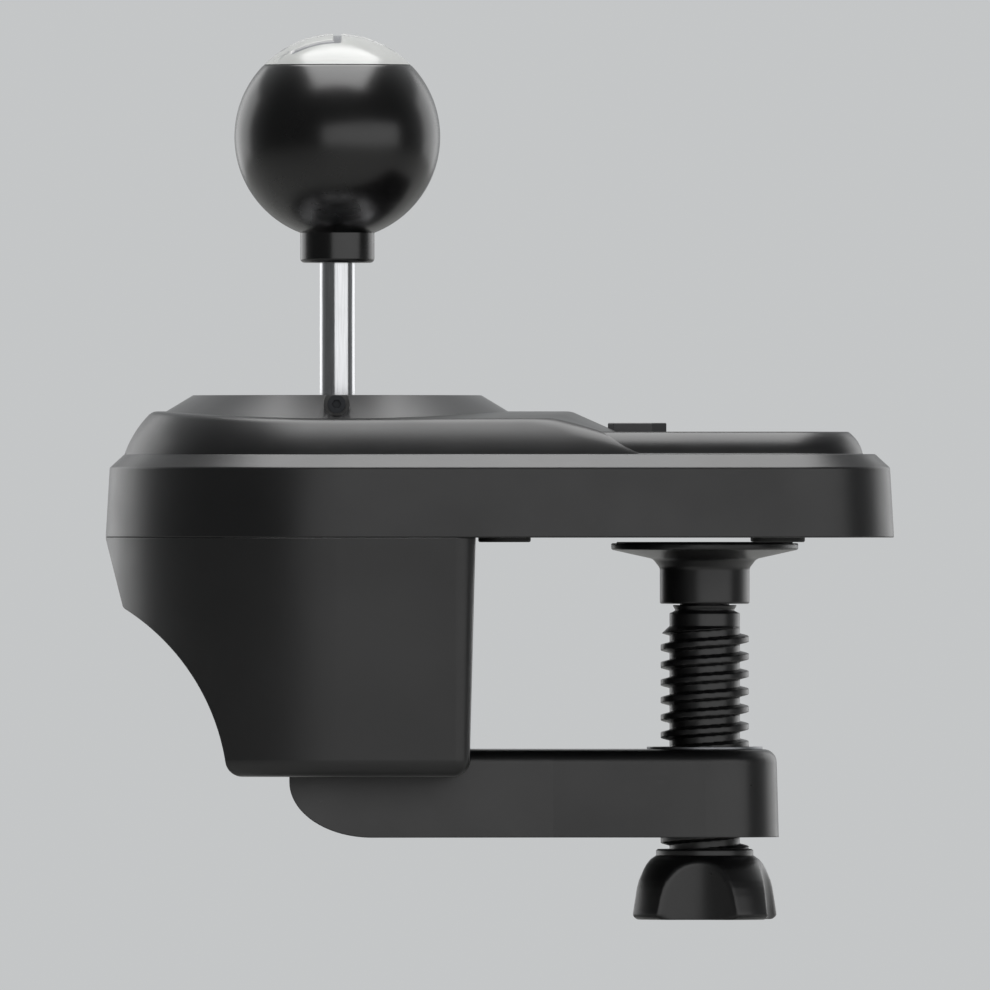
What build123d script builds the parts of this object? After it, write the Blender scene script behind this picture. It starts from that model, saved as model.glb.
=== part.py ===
from build123d import *
import os
from math import atan, cos, degrees, radians, sin, sqrt, tan

os.makedirs("parts", exist_ok=True)

# Desk-clamped H-pattern gear shifter for sim racing, in millimetres.
# +X points from the driver to the desk, +Y to the driver's left, +Z up.
# The origin is on the clamp screw's axis, on the plane of the desk's top face,
# where the rubber feet end and the closed clamp pad meets them.

# Base cover, seen from above: a half round about the lever, straight sides, two corners
lever_to_clamp = 89.2
base_half_width = 56.2
base_right_end = 45.7
base_corner_radius = 28.0
foot_standoff = 1.1
base_wall_height = 16.9
base_wall_draft = 3.3
bevel_height = 3.3
bevel_width = 3.6
cover_skin = 2.4

# Deck that carries the mode button
deck_edge_inset = 3.0
deck_height = 5.4
deck_draft = 22.0
deck_round = 1.8

# Turret round the lever, with a crowned top and a ramp down to the deck
turret_height = 10.4
turret_draft = 33.0
turret_crown_radius = 555.0
turret_end_from_clamp = 12.0
ramp_top_from_clamp = 32.4
ramp_angle = 25.0
ramp_sweep_radius = 182.0
ramp_round = 1.6

# Gate plate and bezel
bezel_top_radius = 35.0
bezel_height = 3.9
bezel_slope = 31.0
bezel_wall = 2.2
bezel_hole_radius = 3.15
bezel_hole_above_seat = 0.9
bezel_shoulder = 1.4
bezel_screw_head_radius = 2.2
bezel_screw_head_length = 4.0
bezel_screw_tip_radius = 0.8
bezel_screw_engagement = 1.1
gate_thickness = 2.5
gate_recess = 0.6
gate_fit = 0.2
gate_pitch = 13.0
gate_columns = 4
gate_rest_column = 1
gate_side_clearance = 0.28
gate_seat_wall = 1.8
gate_screw_count = 4
gate_screw_from_rim = 4.0
gate_screw_radius = 1.25
gate_screw_head_radius = 2.5
gate_screw_length = 6.0
gate_boss_radius = 3.0

# Lever and ball knob
lever_radius = 4.32
shift_angle = 12.0
ball_radius = 25.0
ball_centre_above_gate = 64.65
cap_cut_above_centre = 17.5
cap_spigot_radius = 12.0
cap_spigot_depth = 1.2
collar_radius = 9.03
collar_drop = 30.6
collar_round = 1.0
insert_radius = 6.4
insert_length = 18.0
insert_inset = 1.0
cap_notch_radius = 1.0
cap_notch_depth = 0.5
cap_notch_half_angle = 22.0

# Gimbal, hub and pins
pivot_above_floor = 18.05
hub_half_width = 8.0
hub_above_pivot = 14.0
hub_below_pivot = 7.0
hub_stem_radius = 4.5
hub_stem_length = 2.5
hub_edge = 0.8
rod_pin_radius = 1.5
rod_pin_above_pivot = 9.0
rod_seat_above_pivot = 4.5
yoke_half_height = 6.0
yoke_wall = 4.0
yoke_end_room = 4.0
yoke_side_room = 0.5
pivot_pin_radius = 3.0
pin_running_gap = 0.05
pin_standout = 1.0
pin_edge = 0.3
yoke_to_frame_gap = 3.0
spring_room = 7.0
spring_wire_radius = 0.6
spring_turns = 3
spring_leg = 6.0
spring_gap_to_pin = 0.5
spring_end_gap = 0.4

# Pivot frame with its bushes
frame_plate_thickness = 3.0
frame_plate_half_width = 24.0
frame_cheek_thickness = 4.0
frame_cheek_half_width = 13.0
frame_cheek_above_pivot = 8.0
bush_wall = 1.5
bush_flange_radius = 6.0
bush_flange_thickness = 0.8

# Detent between hub and gimbal
cam_radius = 7.0
cam_thickness = 3.0
cam_notch_radius = 1.0
cam_notch_depth = 0.5
cam_notch_count = 3
cam_gap_to_yoke = 0.5
plunger_radius = 1.5
plunger_gap = 0.3
plunger_length = 4.5
plunger_standout = 0.7
plunger_nose = 1.2
detent_block_wall = 1.6
detent_block_height = 8.0
detent_bore_depth = 6.5
detent_spring_coil_radius = 1.1
detent_spring_wire_radius = 0.2
detent_spring_turns = 5
detent_spring_gap = 0.05

# Magnet and sensor board under the lever
magnet_radius = 3.0
magnet_thickness = 2.0
magnet_standout = 0.5
sensor_board_half_length = 10.0
sensor_board_half_width = 9.0
board_thickness = 1.2
sensor_board_standoff = 1.5
sensor_post_radius = 1.8
sensor_chip_half_size = 1.6
sensor_chip_height = 0.7
board_corner_inset = 2.4

# Lower housing
housing_depth = 57.8
housing_draft = 1.5
housing_right_from_lever = 33.6
housing_skin = 2.4
housing_rim_width = 4.9
housing_rim_height = 3.0
housing_corner_radius = 4.8
housing_bottom_round = 4.2
housing_front_drop = 17.0
housing_front_slant = 4.4
scoop_end_from_lever = 26.4
scoop_sagitta = 5.7
scoop_skin_share = 0.85
scoop_edge_round = 1.4

# Base plate and case screws
plate_recess = 1.5
base_plate_thickness = 2.0
plate_fit = 0.3
plate_opening_radius = 28.0
port_fit = 0.15
case_screw_radius = 1.4
case_screw_head_radius = 2.7
case_screw_head_height = 1.3
case_screw_length = 9.0
case_boss_radius = 3.6
case_boss_inset = 9.5
corner_screw_angle = 45.0
housing_boss_length = 14.0
housing_boss_bite = 0.2
housing_screw_from_lever = 27.0
socket_sides = 6
socket_share = 0.5
socket_depth_share = 0.6
mid_screw_from_clamp = 8.0
rear_screw_from_clamp = 40.0

# Rubber feet
foot_radius = 6.35
foot_seat_depth = 0.8
foot_from_centre = 38.0
foot_left_from_clamp = 48.6
foot_right_from_clamp = 17.7
foot_edge = 0.4

# Clamp arm
desk_opening = 50.3
arm_height = 21.3
arm_half_width = 18.0
arm_flare_from_clamp = 36.8
arm_flare_angle = 7.0
arm_left_from_clamp = 100.7
arm_heel_length = 20.0
arm_heel_height = 13.5
arm_heel_corner = 14.0
arm_draft = 1.6
arm_top_round = 3.2
arm_bolt_radius = 2.5
arm_bolt_head_radius = 4.3
arm_bolt_head_height = 5.0
arm_bolt_seat = 5.0
arm_bolt_from_centre = 12.0
arm_bolts_centre_from_lever = 8.0
arm_bolt_half_spacing = 11.0
arm_bolt_head_gap = 0.4

# Clamp screw, pad and hand knob
screw_core_radius = 8.55
thread_radius = 10.7
thread_pitch = 4.25
thread_crest_share = 0.32
thread_flank_share = 0.14
thread_root_sink = 0.4
thread_top_below_desk = 20.4
thread_runout = 2.0
nut_wall = 2.2
nut_flange_width = 0.9
nut_flange_height = 0.6
nut_thread_gap = 0.25
pad_radius = 22.7
pad_facing_thickness = 0.9
pad_facing_standout = 0.3
pad_facing_fit = 0.1
pad_facing_inset = 1.2
pad_lip = 1.85
pad_cone_radius = 12.6
pad_cone_depth = 4.1
pad_collar_radius = 10.9
pad_collar_blend = 2.2
pad_depth = 15.0
spigot_below_facing = 2.5
spigot_radius = 6.0
spigot_gap = 0.3
clip_thickness = 0.8
clip_width = 1.6
clip_room = 0.3
clip_groove = 0.8
clip_from_spigot_end = 1.0
clip_gap = 5.0
screw_neck_radius = 7.9
screw_neck_waist = 7.05
screw_neck_length = 1.3
screw_neck_flare = 0.7
knob_collar_radius = 11.8
knob_collar_height = 1.6
knob_gap_below_arm = 2.9
knob_height = 17.1
knob_outer_radius = 19.2
knob_shoulder_radius = 16.0
knob_shoulder_depth = 5.3
knob_rim_depth = 8.0
knob_skirt_depth = 15.7
knob_foot_radius = 17.6
knob_scallops = 4
knob_scallop_radius = 17.0
knob_scallop_floor = 13.6
knob_scallop_turn = 6.5
knob_bolt_head_radius = 5.0
knob_bolt_head_height = 3.0
knob_bolt_shank_radius = 2.5
knob_bolt_length = 10.0
knob_bolt_recess = 1.5
screw_into_knob = 10.0

# Mode button, switch and boards in the base
button_left_from_clamp = 23.5
button_length = 14.2
button_half_width = 4.5
button_left_chamfer = 1.3
button_right_chamfer = 3.5
button_standout = 2.2
button_fit = 0.25
button_edge = 0.3
button_flange_width = 1.2
button_flange_thickness = 1.4
button_flange_gap = 0.4
button_travel = 0.9
button_stem_radius = 2.0
switch_half_width = 3.0
switch_height = 4.0
switch_plunger_radius = 1.6
switch_plunger_gap = 0.1
switch_floor_gap = 0.2
switch_plunger_standout = 1.4
switch_plunger_depth = 1.6
main_board_thickness = 1.6
main_board_half_width = 15.0
main_board_length = 66.0
board_to_wall = 1.4
board_post_radius = 2.4
usb_half_width = 4.47
usb_height = 3.2
usb_depth = 7.4
usb_shell = 0.3
usb_centre_above_base = 5.5
usb_tongue_thickness = 0.7
usb_tongue_inset = 1.4
usb_floor = 1.2
usb_recess_margin = 1.6
usb_recess_depth = 0.8
usb_set_back = 0.1
din_radius = 4.75
din_rim_radius = 5.3
din_rim_thickness = 0.9
din_rim_gap = 0.4
din_set_back = 0.3
din_length = 11.0
din_centre_above_base = 9.0
din_from_centre = 22.0
din_pin_circle = 2.6
din_pin_radius = 0.5
din_pin_depth = 3.0
din_pin_count = 6
din_ring_outer = 4.2
din_ring_inner = 3.5
din_saddle_length = 5.0
din_saddle_wall = 1.4
din_saddle_drop = 1.0

overrun = 1.0

# Places worked out from the sizes above
lever_x = -lever_to_clamp
bevel_z = foot_standoff + base_wall_height
shelf_z = bevel_z + bevel_height
deck_z = shelf_z + deck_height
turret_z = shelf_z + turret_height
bezel_z = turret_z + bezel_height
wall_inset = base_wall_height * tan(radians(base_wall_draft))
shelf_inset = wall_inset + bevel_width
deck_inset = shelf_inset + deck_edge_inset
plate_z = foot_standoff + plate_recess
plate_top = plate_z + base_plate_thickness

turret_radius = base_half_width - shelf_inset
turret_top_radius = turret_radius - turret_height * tan(radians(turret_draft))
crown_drop = turret_crown_radius - sqrt(turret_crown_radius**2 - turret_top_radius**2)
turret_room_z = turret_z - crown_drop - cover_skin
ramp_edge_shift = ramp_sweep_radius - sqrt(ramp_sweep_radius**2 - turret_radius**2)

gate_top = bezel_z - gate_recess
gate_seat = gate_top - gate_thickness
bezel_bore = bezel_top_radius - bezel_wall
gate_radius = bezel_bore - gate_fit
gate_opening = gate_radius - gate_seat_wall
gate_screw_circle = gate_radius - gate_screw_from_rim
housing_bottom = foot_standoff - housing_depth
housing_floor = housing_bottom + housing_skin
pivot_z = housing_floor + pivot_above_floor
pivot_below_gate = gate_top - gate_thickness / 2 - pivot_z
column_places = [gate_pitch * ((gate_columns - 1) / 2 - i) for i in range(gate_columns)]
pivot_y = column_places[gate_rest_column]
select_far_angle = degrees(atan((pivot_y - column_places[-1]) / pivot_below_gate))
select_near_angle = degrees(atan((column_places[0] - pivot_y) / pivot_below_gate))
shift_throw = pivot_below_gate * tan(radians(shift_angle)) / cos(radians(select_far_angle))
lever_lean_width = lever_radius / cos(radians(select_far_angle))
lever_lean_drift = gate_thickness / 2 * tan(radians(select_far_angle))
slot_half_width = lever_lean_width + lever_lean_drift + gate_side_clearance
ball_z = gate_top - gate_thickness / 2 + ball_centre_above_gate


# Base shape at a distance inside the base's lower edge
def base_outline(inset):
    half = base_half_width - inset
    right = base_right_end - inset
    with BuildSketch() as outline:
        with Locations((lever_x, 0)):
            Circle(half)
        with Locations(((lever_x + right) / 2, 0)):
            Rectangle(right - lever_x, 2 * half)
        fillet(outline.vertices().group_by(Axis.X)[-1], base_corner_radius - inset)
    return outline.sketch


# Turret shape: a round about the lever, drawn in to the deck's width at its end
def turret_outline(inset, end_x):
    end_half = base_half_width - deck_inset - inset
    with BuildSketch() as outline:
        with BuildLine():
            CenterArc((lever_x, 0), turret_radius - inset, 0, 360)
            Line((end_x, -end_half), (end_x, end_half))
        make_hull()
    return outline.sketch


# Turret body between two heights, narrowing upwards
def turret_block(inset, top_z, end_x):
    with BuildPart() as block:
        with BuildSketch(Plane.XY.offset(shelf_z)):
            add(turret_outline(inset, end_x))
        with BuildSketch(Plane.XY.offset(top_z)):
            add(turret_outline(inset + (top_z - shelf_z) * tan(radians(turret_draft)), end_x))
        loft(ruled=True)
    return block.part


# Housing shape at its top edge, flush with the cover round the lever
def housing_outline(inset):
    half = base_half_width - inset
    right = lever_x + housing_right_from_lever - inset
    with BuildSketch() as outline:
        with Locations((lever_x, 0)):
            Circle(half)
        with Locations((lever_x + half / 2, 0)):
            Rectangle(half, 2 * half)
        with Locations(((right + lever_x - half) / 2, 0)):
            Rectangle(right - lever_x + half, 2 * half + overrun, mode=Mode.INTERSECT)
        fillet(outline.vertices().group_by(Axis.X)[-1], housing_corner_radius)
    return outline.sketch


# Housing block with the scooped front, drawn in on every side by the inset
def housing_block(inset):
    shift = inset * scoop_skin_share
    left = lever_x - base_half_width
    bottom = housing_bottom
    corner = (left + housing_front_slant + shift, foot_standoff - housing_front_drop + shift)
    scoop_end = (lever_x - scoop_end_from_lever + shift, bottom + shift)
    with BuildPart() as block:
        with BuildSketch(Plane((0, 0, foot_standoff), x_dir=(1, 0, 0), z_dir=(0, 0, -1))):
            add(housing_outline(inset))
        extrude(amount=housing_depth - inset, taper=housing_draft)
        with BuildSketch(Plane.XZ.offset(-base_half_width - overrun)):
            with BuildLine():
                Line((left + shift, foot_standoff), corner)
                SagittaArc(corner, scoop_end, scoop_sagitta)
                Polyline(
                    scoop_end,
                    (scoop_end[0], bottom - overrun),
                    (left - overrun, bottom - overrun),
                    (left - overrun, foot_standoff + overrun),
                    (left + shift, foot_standoff + overrun),
                    (left + shift, foot_standoff),
                )
            make_face()
        extrude(amount=2 * (base_half_width + overrun), mode=Mode.SUBTRACT)
    return block.part


# A screw whose round head seats on the origin, shank down, with a hexagon socket
def cap_screw(head_radius, head_height, shank_radius, length):
    with BuildPart() as screw:
        Cylinder(head_radius, head_height, align=(Align.CENTER, Align.CENTER, Align.MIN))
        Cylinder(shank_radius, length, align=(Align.CENTER, Align.CENTER, Align.MAX))
        with BuildSketch(Plane.XY.offset(head_height)):
            RegularPolygon(head_radius * socket_share, socket_sides)
        extrude(amount=-head_height * socket_depth_share, mode=Mode.SUBTRACT)
    return screw.part


# A countersunk screw whose flat head ends on the origin's plane
def flat_screw(head_radius, shank_radius, length):
    sink = head_radius - shank_radius
    with BuildPart() as screw:
        Cone(shank_radius, head_radius, sink, align=(Align.CENTER, Align.CENTER, Align.MAX))
        Cylinder(shank_radius, length, align=(Align.CENTER, Align.CENTER, Align.MAX))
        with BuildSketch():
            RegularPolygon(head_radius * socket_share, socket_sides)
        extrude(amount=-sink * socket_depth_share, mode=Mode.SUBTRACT)
    return screw.part


# Everything below the turret's crown
def crown_block():
    edge_z = turret_z - turret_crown_radius + sqrt(turret_crown_radius**2 - base_half_width**2)
    with BuildPart() as block:
        with BuildSketch(Plane.YZ.offset(lever_x - base_half_width)):
            with BuildLine():
                ThreePointArc((-base_half_width, edge_z), (0, turret_z), (base_half_width, edge_z))
                Polyline(
                    (base_half_width, edge_z),
                    (base_half_width, shelf_z - overrun),
                    (-base_half_width, shelf_z - overrun),
                    (-base_half_width, edge_z),
                )
            make_face()
        extrude(amount=lever_to_clamp + base_half_width)
    return block.part


cover_screw_places = [
    (base_right_end - base_corner_radius + (base_corner_radius - case_boss_inset) * cos(radians(corner_screw_angle)),
     base_half_width - base_corner_radius + (base_corner_radius - case_boss_inset) * sin(radians(corner_screw_angle))),
    (-mid_screw_from_clamp, base_half_width - case_boss_inset),
    (-rear_screw_from_clamp, base_half_width - case_boss_inset),
]
cover_screw_places = cover_screw_places + [(x, -y) for x, y in cover_screw_places]
housing_screw_y = base_half_width - housing_skin - case_boss_radius + housing_boss_bite
housing_screw_places = [
    (lever_x + dx, side * sqrt(housing_screw_y**2 - min(dx, 0) ** 2))
    for dx in (housing_screw_from_lever, -housing_screw_from_lever)
    for side in (1, -1)
]
foot_places = [
    (x, side * foot_from_centre)
    for x in (-foot_left_from_clamp, foot_right_from_clamp)
    for side in (1, -1)
]

# Mode button's plan: a flat plate with its corners cut, more on the desk side
button_left = -button_left_from_clamp
button_right = button_left + button_length
button_x = button_left + button_length / 2


def button_outline(grow):
    low = button_left - grow
    high = button_right + grow
    wide = button_half_width + grow
    points = [
        (low, button_left_chamfer),
        (low + button_left_chamfer, wide),
        (high - button_right_chamfer, wide),
        (high, button_left_chamfer),
    ]
    points = points + [(x, -y) for x, y in reversed(points)]
    with BuildSketch() as outline:
        with BuildLine():
            Polyline(points, close=True)
        make_face()
    return outline.sketch


usb_z = foot_standoff + usb_centre_above_base
din_z = foot_standoff + din_centre_above_base
wall_face_x = base_right_end - usb_centre_above_base * tan(radians(base_wall_draft))
din_wall_x = base_right_end - din_centre_above_base * tan(radians(base_wall_draft))
din_face_x = din_wall_x - din_set_back

# Turret, with its crown and ramp
with BuildPart() as turret:
    add(turret_block(0, turret_z + overrun, -turret_end_from_clamp))
    add(crown_block(), mode=Mode.INTERSECT)
    ramp_low = shelf_z - overrun
    ramp_high = turret_z + 2 * overrun
    ramp_axis_x = -ramp_top_from_clamp - ramp_sweep_radius
    with BuildSketch(Plane.XZ):
        with BuildLine():
            Polyline(
                (ramp_axis_x, ramp_low),
                (-ramp_top_from_clamp + (turret_z - ramp_low) / tan(radians(ramp_angle)), ramp_low),
                (-ramp_top_from_clamp + (turret_z - ramp_high) / tan(radians(ramp_angle)), ramp_high),
                (ramp_axis_x, ramp_high),
                close=True,
            )
        make_face()
    revolve(axis=Axis((ramp_axis_x, 0, 0), (0, 0, 1)), mode=Mode.INTERSECT)
    fillet(turret.faces().sort_by(Axis.Z)[-1].edges().sort_by(Axis.X)[-1], ramp_round)

# Top cover: wall, bevel, deck and turret in one moulding, open below
with BuildPart() as top_cover:
    with BuildSketch(Plane.XY.offset(foot_standoff)):
        add(base_outline(0))
    extrude(amount=base_wall_height, taper=base_wall_draft)
    with BuildSketch(Plane.XY.offset(bevel_z)):
        add(base_outline(wall_inset))
    extrude(amount=bevel_height, taper=degrees(atan(bevel_width / bevel_height)))
    with BuildSketch(Plane.XY.offset(shelf_z)):
        add(base_outline(deck_inset))
    extrude(amount=deck_height, taper=deck_draft)
    fillet(top_cover.faces().sort_by(Axis.Z)[-1].edges(), deck_round)
    add(turret.part)
    with BuildSketch(Plane.XY.offset(foot_standoff)):
        add(base_outline(cover_skin))
    extrude(amount=shelf_z - cover_skin - foot_standoff, taper=base_wall_draft, mode=Mode.SUBTRACT)
    with BuildSketch(Plane.XY.offset(shelf_z - 2 * cover_skin)):
        add(base_outline(deck_inset + cover_skin))
    extrude(amount=deck_height + cover_skin, taper=deck_draft, mode=Mode.SUBTRACT)
    turret_skin_inset = cover_skin / cos(radians(turret_draft))
    turret_room_end = -ramp_top_from_clamp - ramp_edge_shift
    add(turret_block(turret_skin_inset, turret_room_z, turret_room_end), mode=Mode.SUBTRACT)
    with BuildSketch(Plane.XY.offset(shelf_z)):
        add(turret_outline(turret_skin_inset, turret_room_end))
    extrude(amount=-2 * cover_skin, mode=Mode.SUBTRACT)
    with BuildSketch(Plane.XY.offset(turret_room_z)):
        with Locations((lever_x, 0)):
            Circle(gate_radius)
    extrude(amount=gate_seat - turret_room_z)
    with BuildSketch(Plane.XY.offset(gate_seat)):
        with Locations((lever_x, 0)):
            Circle(gate_opening)
    extrude(amount=-(gate_seat - turret_room_z + overrun), mode=Mode.SUBTRACT)
    with BuildSketch(Plane.XY.offset(turret_room_z)):
        with Locations((lever_x, 0)):
            with PolarLocations(gate_screw_circle, gate_screw_count):
                Circle(gate_boss_radius)
    extrude(amount=gate_seat - turret_room_z)
    with BuildSketch(Plane.XY.offset(gate_seat)):
        with Locations((lever_x, 0)):
            with PolarLocations(gate_screw_circle, gate_screw_count):
                Circle(gate_screw_radius)
    extrude(amount=-(gate_screw_length - gate_thickness), mode=Mode.SUBTRACT)
    with BuildSketch(Plane.XY.offset(plate_top)):
        with Locations(*cover_screw_places):
            Circle(case_boss_radius)
    extrude(amount=shelf_z - cover_skin - plate_top)
    with BuildSketch(Plane.XY.offset(plate_top)):
        with Locations(*cover_screw_places):
            Circle(case_screw_radius)
    extrude(amount=case_screw_length - base_plate_thickness, mode=Mode.SUBTRACT)
    with BuildSketch(Plane.XY.offset(turret_z)):
        add(button_outline(button_fit))
    extrude(amount=-(turret_z - deck_z + cover_skin + overrun), mode=Mode.SUBTRACT)
    with BuildSketch(Plane.YZ.offset(base_right_end)):
        with Locations((0, usb_z)):
            SlotOverall(2 * (usb_half_width + port_fit), usb_height + 2 * port_fit)
        with Locations((din_from_centre, din_z)):
            Circle(din_radius + port_fit)
    extrude(amount=-(base_wall_height / 2), mode=Mode.SUBTRACT)
    with BuildSketch(Plane.YZ.offset(wall_face_x - usb_recess_depth)):
        with Locations((0, usb_z)):
            SlotOverall(2 * (usb_half_width + usb_recess_margin), usb_height + 2 * usb_recess_margin)
    extrude(amount=usb_recess_depth + 2 * overrun, mode=Mode.SUBTRACT)
top_cover.part.label = "top_cover"
export_step(top_cover.part, "parts/top_cover.step")

# Bezel ring, its foot following the crown, with a screw hole on each side
bezel_low_z = turret_z - crown_drop - overrun
bezel_low_radius = bezel_top_radius + (bezel_z - bezel_low_z) / tan(radians(bezel_slope))
bezel_hole_z = gate_seat + bezel_hole_above_seat
bezel_seat_y = bezel_bore + bezel_shoulder
bezel_hole_planes = [
    Plane((lever_x, side * bezel_seat_y, bezel_hole_z), x_dir=(1, 0, 0), z_dir=(0, side, 0))
    for side in (1, -1)
]
with BuildPart() as bezel_ring:
    with BuildSketch(Plane.XZ):
        with BuildLine():
            Polyline(
                (lever_x + bezel_bore, bezel_z),
                (lever_x + bezel_top_radius, bezel_z),
                (lever_x + bezel_low_radius, bezel_low_z),
                (lever_x + bezel_bore, bezel_low_z),
                close=True,
            )
        make_face()
    revolve(axis=Axis((lever_x, 0, 0), (0, 0, 1)))
    add(crown_block(), mode=Mode.SUBTRACT)
    for hole_plane in bezel_hole_planes:
        with BuildSketch(hole_plane):
            Circle(bezel_hole_radius)
        extrude(amount=bezel_low_radius - bezel_bore, mode=Mode.SUBTRACT)
        with BuildSketch(hole_plane):
            Circle(bezel_screw_tip_radius)
        extrude(amount=-(bezel_shoulder + overrun), mode=Mode.SUBTRACT)
bezel_ring.part.label = "bezel_ring"
export_step(bezel_ring.part, "parts/bezel_ring.step")

bezel_screw_length = bezel_shoulder + gate_fit + bezel_screw_engagement
with BuildPart() as bezel_screws:
    for hole_plane in bezel_hole_planes:
        with Locations(hole_plane):
            add(
                cap_screw(
                    bezel_screw_head_radius, bezel_screw_head_length, bezel_screw_tip_radius, bezel_screw_length
                )
            )
bezel_screws.part.label = "bezel_screws"
export_step(bezel_screws.part, "parts/bezel_screws.step")

# Gate plate with four slots for the gears and one that joins them
with BuildPart() as gate_plate:
    with BuildSketch(Plane.XY.offset(gate_seat)):
        with Locations((lever_x, 0)):
            Circle(gate_radius)
        with Locations(*[(lever_x, y) for y in column_places]):
            SlotCenterToCenter(2 * shift_throw, 2 * slot_half_width, mode=Mode.SUBTRACT)
        with Locations((lever_x, 0)):
            Rectangle(
                2 * (lever_radius + gate_side_clearance),
                column_places[0] - column_places[-1],
                mode=Mode.SUBTRACT,
            )
    extrude(amount=gate_thickness)
    with Locations((lever_x, 0, gate_top)):
        with PolarLocations(gate_screw_circle, gate_screw_count):
            CounterSinkHole(gate_screw_radius, gate_screw_head_radius, gate_thickness)
    for hole_plane in bezel_hole_planes:
        with BuildSketch(hole_plane):
            Circle(bezel_screw_tip_radius)
        extrude(amount=-bezel_screw_length, mode=Mode.SUBTRACT)
gate_plate.part.label = "gate_plate"
export_step(gate_plate.part, "parts/gate_plate.step")

with BuildPart() as gate_screws:
    with Locations((lever_x, 0, gate_top)):
        with PolarLocations(gate_screw_circle, gate_screw_count):
            add(flat_screw(gate_screw_head_radius, gate_screw_radius, gate_screw_length))
gate_screws.part.label = "gate_screws"
export_step(gate_screws.part, "parts/gate_screws.step")

# Base plate, let into the cover, with the lever's opening, foot seats, board posts and a saddle
board_z = usb_z + usb_height / 2
board_right = wall_face_x - cover_skin - board_to_wall
board_left = board_right - main_board_length
board_post_places = [
    (x, side * (main_board_half_width - board_corner_inset))
    for x in (board_left + board_corner_inset, board_right - board_corner_inset - board_post_radius)
    for side in (1, -1)
]
with BuildPart() as base_plate:
    with BuildSketch(Plane.XY.offset(plate_z)):
        add(base_outline(cover_skin + plate_fit))
        with Locations((lever_x, 0)):
            Circle(plate_opening_radius, mode=Mode.SUBTRACT)
        with Locations(*cover_screw_places, *housing_screw_places):
            Circle(case_screw_radius, mode=Mode.SUBTRACT)
    extrude(amount=base_plate_thickness)
    with BuildSketch(Plane.XY.offset(plate_z)):
        with Locations(*foot_places):
            Circle(foot_radius)
    extrude(amount=foot_seat_depth, mode=Mode.SUBTRACT)
    with BuildSketch(Plane.XY.offset(plate_top)):
        with Locations(*board_post_places):
            Circle(board_post_radius)
    extrude(amount=board_z - plate_top)
    with BuildSketch(Plane.XY.offset(plate_top)):
        with Locations((din_face_x - din_length + din_saddle_length / 2, din_from_centre)):
            Rectangle(din_saddle_length, 2 * (din_radius + din_saddle_wall))
    extrude(amount=din_z - din_saddle_drop - plate_top)
    with BuildSketch(Plane.YZ.offset(din_face_x)):
        with Locations((din_from_centre, din_z)):
            Circle(din_radius)
    extrude(amount=-din_length, mode=Mode.SUBTRACT)
base_plate.part.label = "base_plate"
export_step(base_plate.part, "parts/base_plate.step")

with BuildPart() as rubber_feet:
    with BuildSketch():
        with Locations(*foot_places):
            Circle(foot_radius)
    extrude(amount=plate_z + foot_seat_depth)
    fillet(rubber_feet.faces().group_by(Axis.Z)[0].edges(), foot_edge)
rubber_feet.part.label = "rubber_feet"
export_step(rubber_feet.part, "parts/rubber_feet.step")

with BuildPart() as cover_screws:
    for x, y in cover_screw_places:
        with Locations(Plane((x, y, plate_z), x_dir=(1, 0, 0), z_dir=(0, 0, -1))):
            add(cap_screw(case_screw_head_radius, case_screw_head_height, case_screw_radius, case_screw_length))
cover_screws.part.label = "cover_screws"
export_step(cover_screws.part, "parts/cover_screws.step")

with BuildPart() as housing_screws:
    for x, y in housing_screw_places:
        with Locations((x, y, plate_top)):
            add(cap_screw(case_screw_head_radius, case_screw_head_height, case_screw_radius, case_screw_length))
housing_screws.part.label = "housing_screws"
export_step(housing_screws.part, "parts/housing_screws.step")

# Places of the pivot frame and of the bolts that hold arm, housing and frame together
frame_floor = housing_floor + frame_plate_thickness
arm_top = -desk_opening
arm_bottom = arm_top - arm_height
arm_bolt_seat_z = housing_bottom - arm_bolt_seat
arm_bolt_places = [
    (lever_x + arm_bolts_centre_from_lever + dx * arm_bolt_half_spacing, dy * arm_bolt_from_centre)
    for dx in (-1, 1)
    for dy in (-1, 1)
]

# Housing as one block, before it is hollowed
with BuildPart() as housing_form:
    add(housing_block(0))
    fillet(housing_form.faces().sort_by(Axis.Z)[0].edges(), housing_bottom_round)
    fillet(housing_form.edges().filter_by(Axis.Y).sort_by(Axis.X)[0], scoop_edge_round)

# Lower housing: an open-topped shell whose rim steps up inside the cover
with BuildPart() as lower_housing:
    add(housing_form.part)
    add(housing_block(housing_skin), mode=Mode.SUBTRACT)
    with BuildSketch(Plane.XY.offset(foot_standoff)):
        add(housing_outline(housing_skin / 2))
        add(housing_outline(housing_rim_width), mode=Mode.SUBTRACT)
    extrude(amount=-housing_rim_height)
    with BuildSketch(Plane.XY.offset(foot_standoff)):
        add(housing_outline(cover_skin + plate_fit))
        add(housing_outline(housing_rim_width), mode=Mode.SUBTRACT)
    extrude(amount=plate_recess)
    with BuildSketch(Plane.XY.offset(foot_standoff)):
        add(housing_outline(0))
        with Locations((lever_x + housing_right_from_lever, 0)):
            Rectangle(
                2 * housing_rim_width, 2 * (base_half_width - cover_skin - plate_fit), mode=Mode.INTERSECT
            )
    extrude(amount=plate_recess)
    with BuildSketch(Plane.XY.offset(foot_standoff)):
        with Locations(*housing_screw_places):
            Circle(case_boss_radius)
    extrude(amount=-housing_boss_length)
    with BuildSketch(Plane.XY.offset(plate_z)):
        with Locations(*housing_screw_places):
            Circle(case_screw_radius)
    extrude(amount=-(case_screw_length - base_plate_thickness), mode=Mode.SUBTRACT)
    with BuildSketch(Plane.XY.offset(housing_bottom)):
        with Locations(*arm_bolt_places):
            Circle(arm_bolt_radius)
    extrude(amount=housing_skin, mode=Mode.SUBTRACT)
lower_housing.part.label = "lower_housing"
export_step(lower_housing.part, "parts/lower_housing.step")

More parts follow.
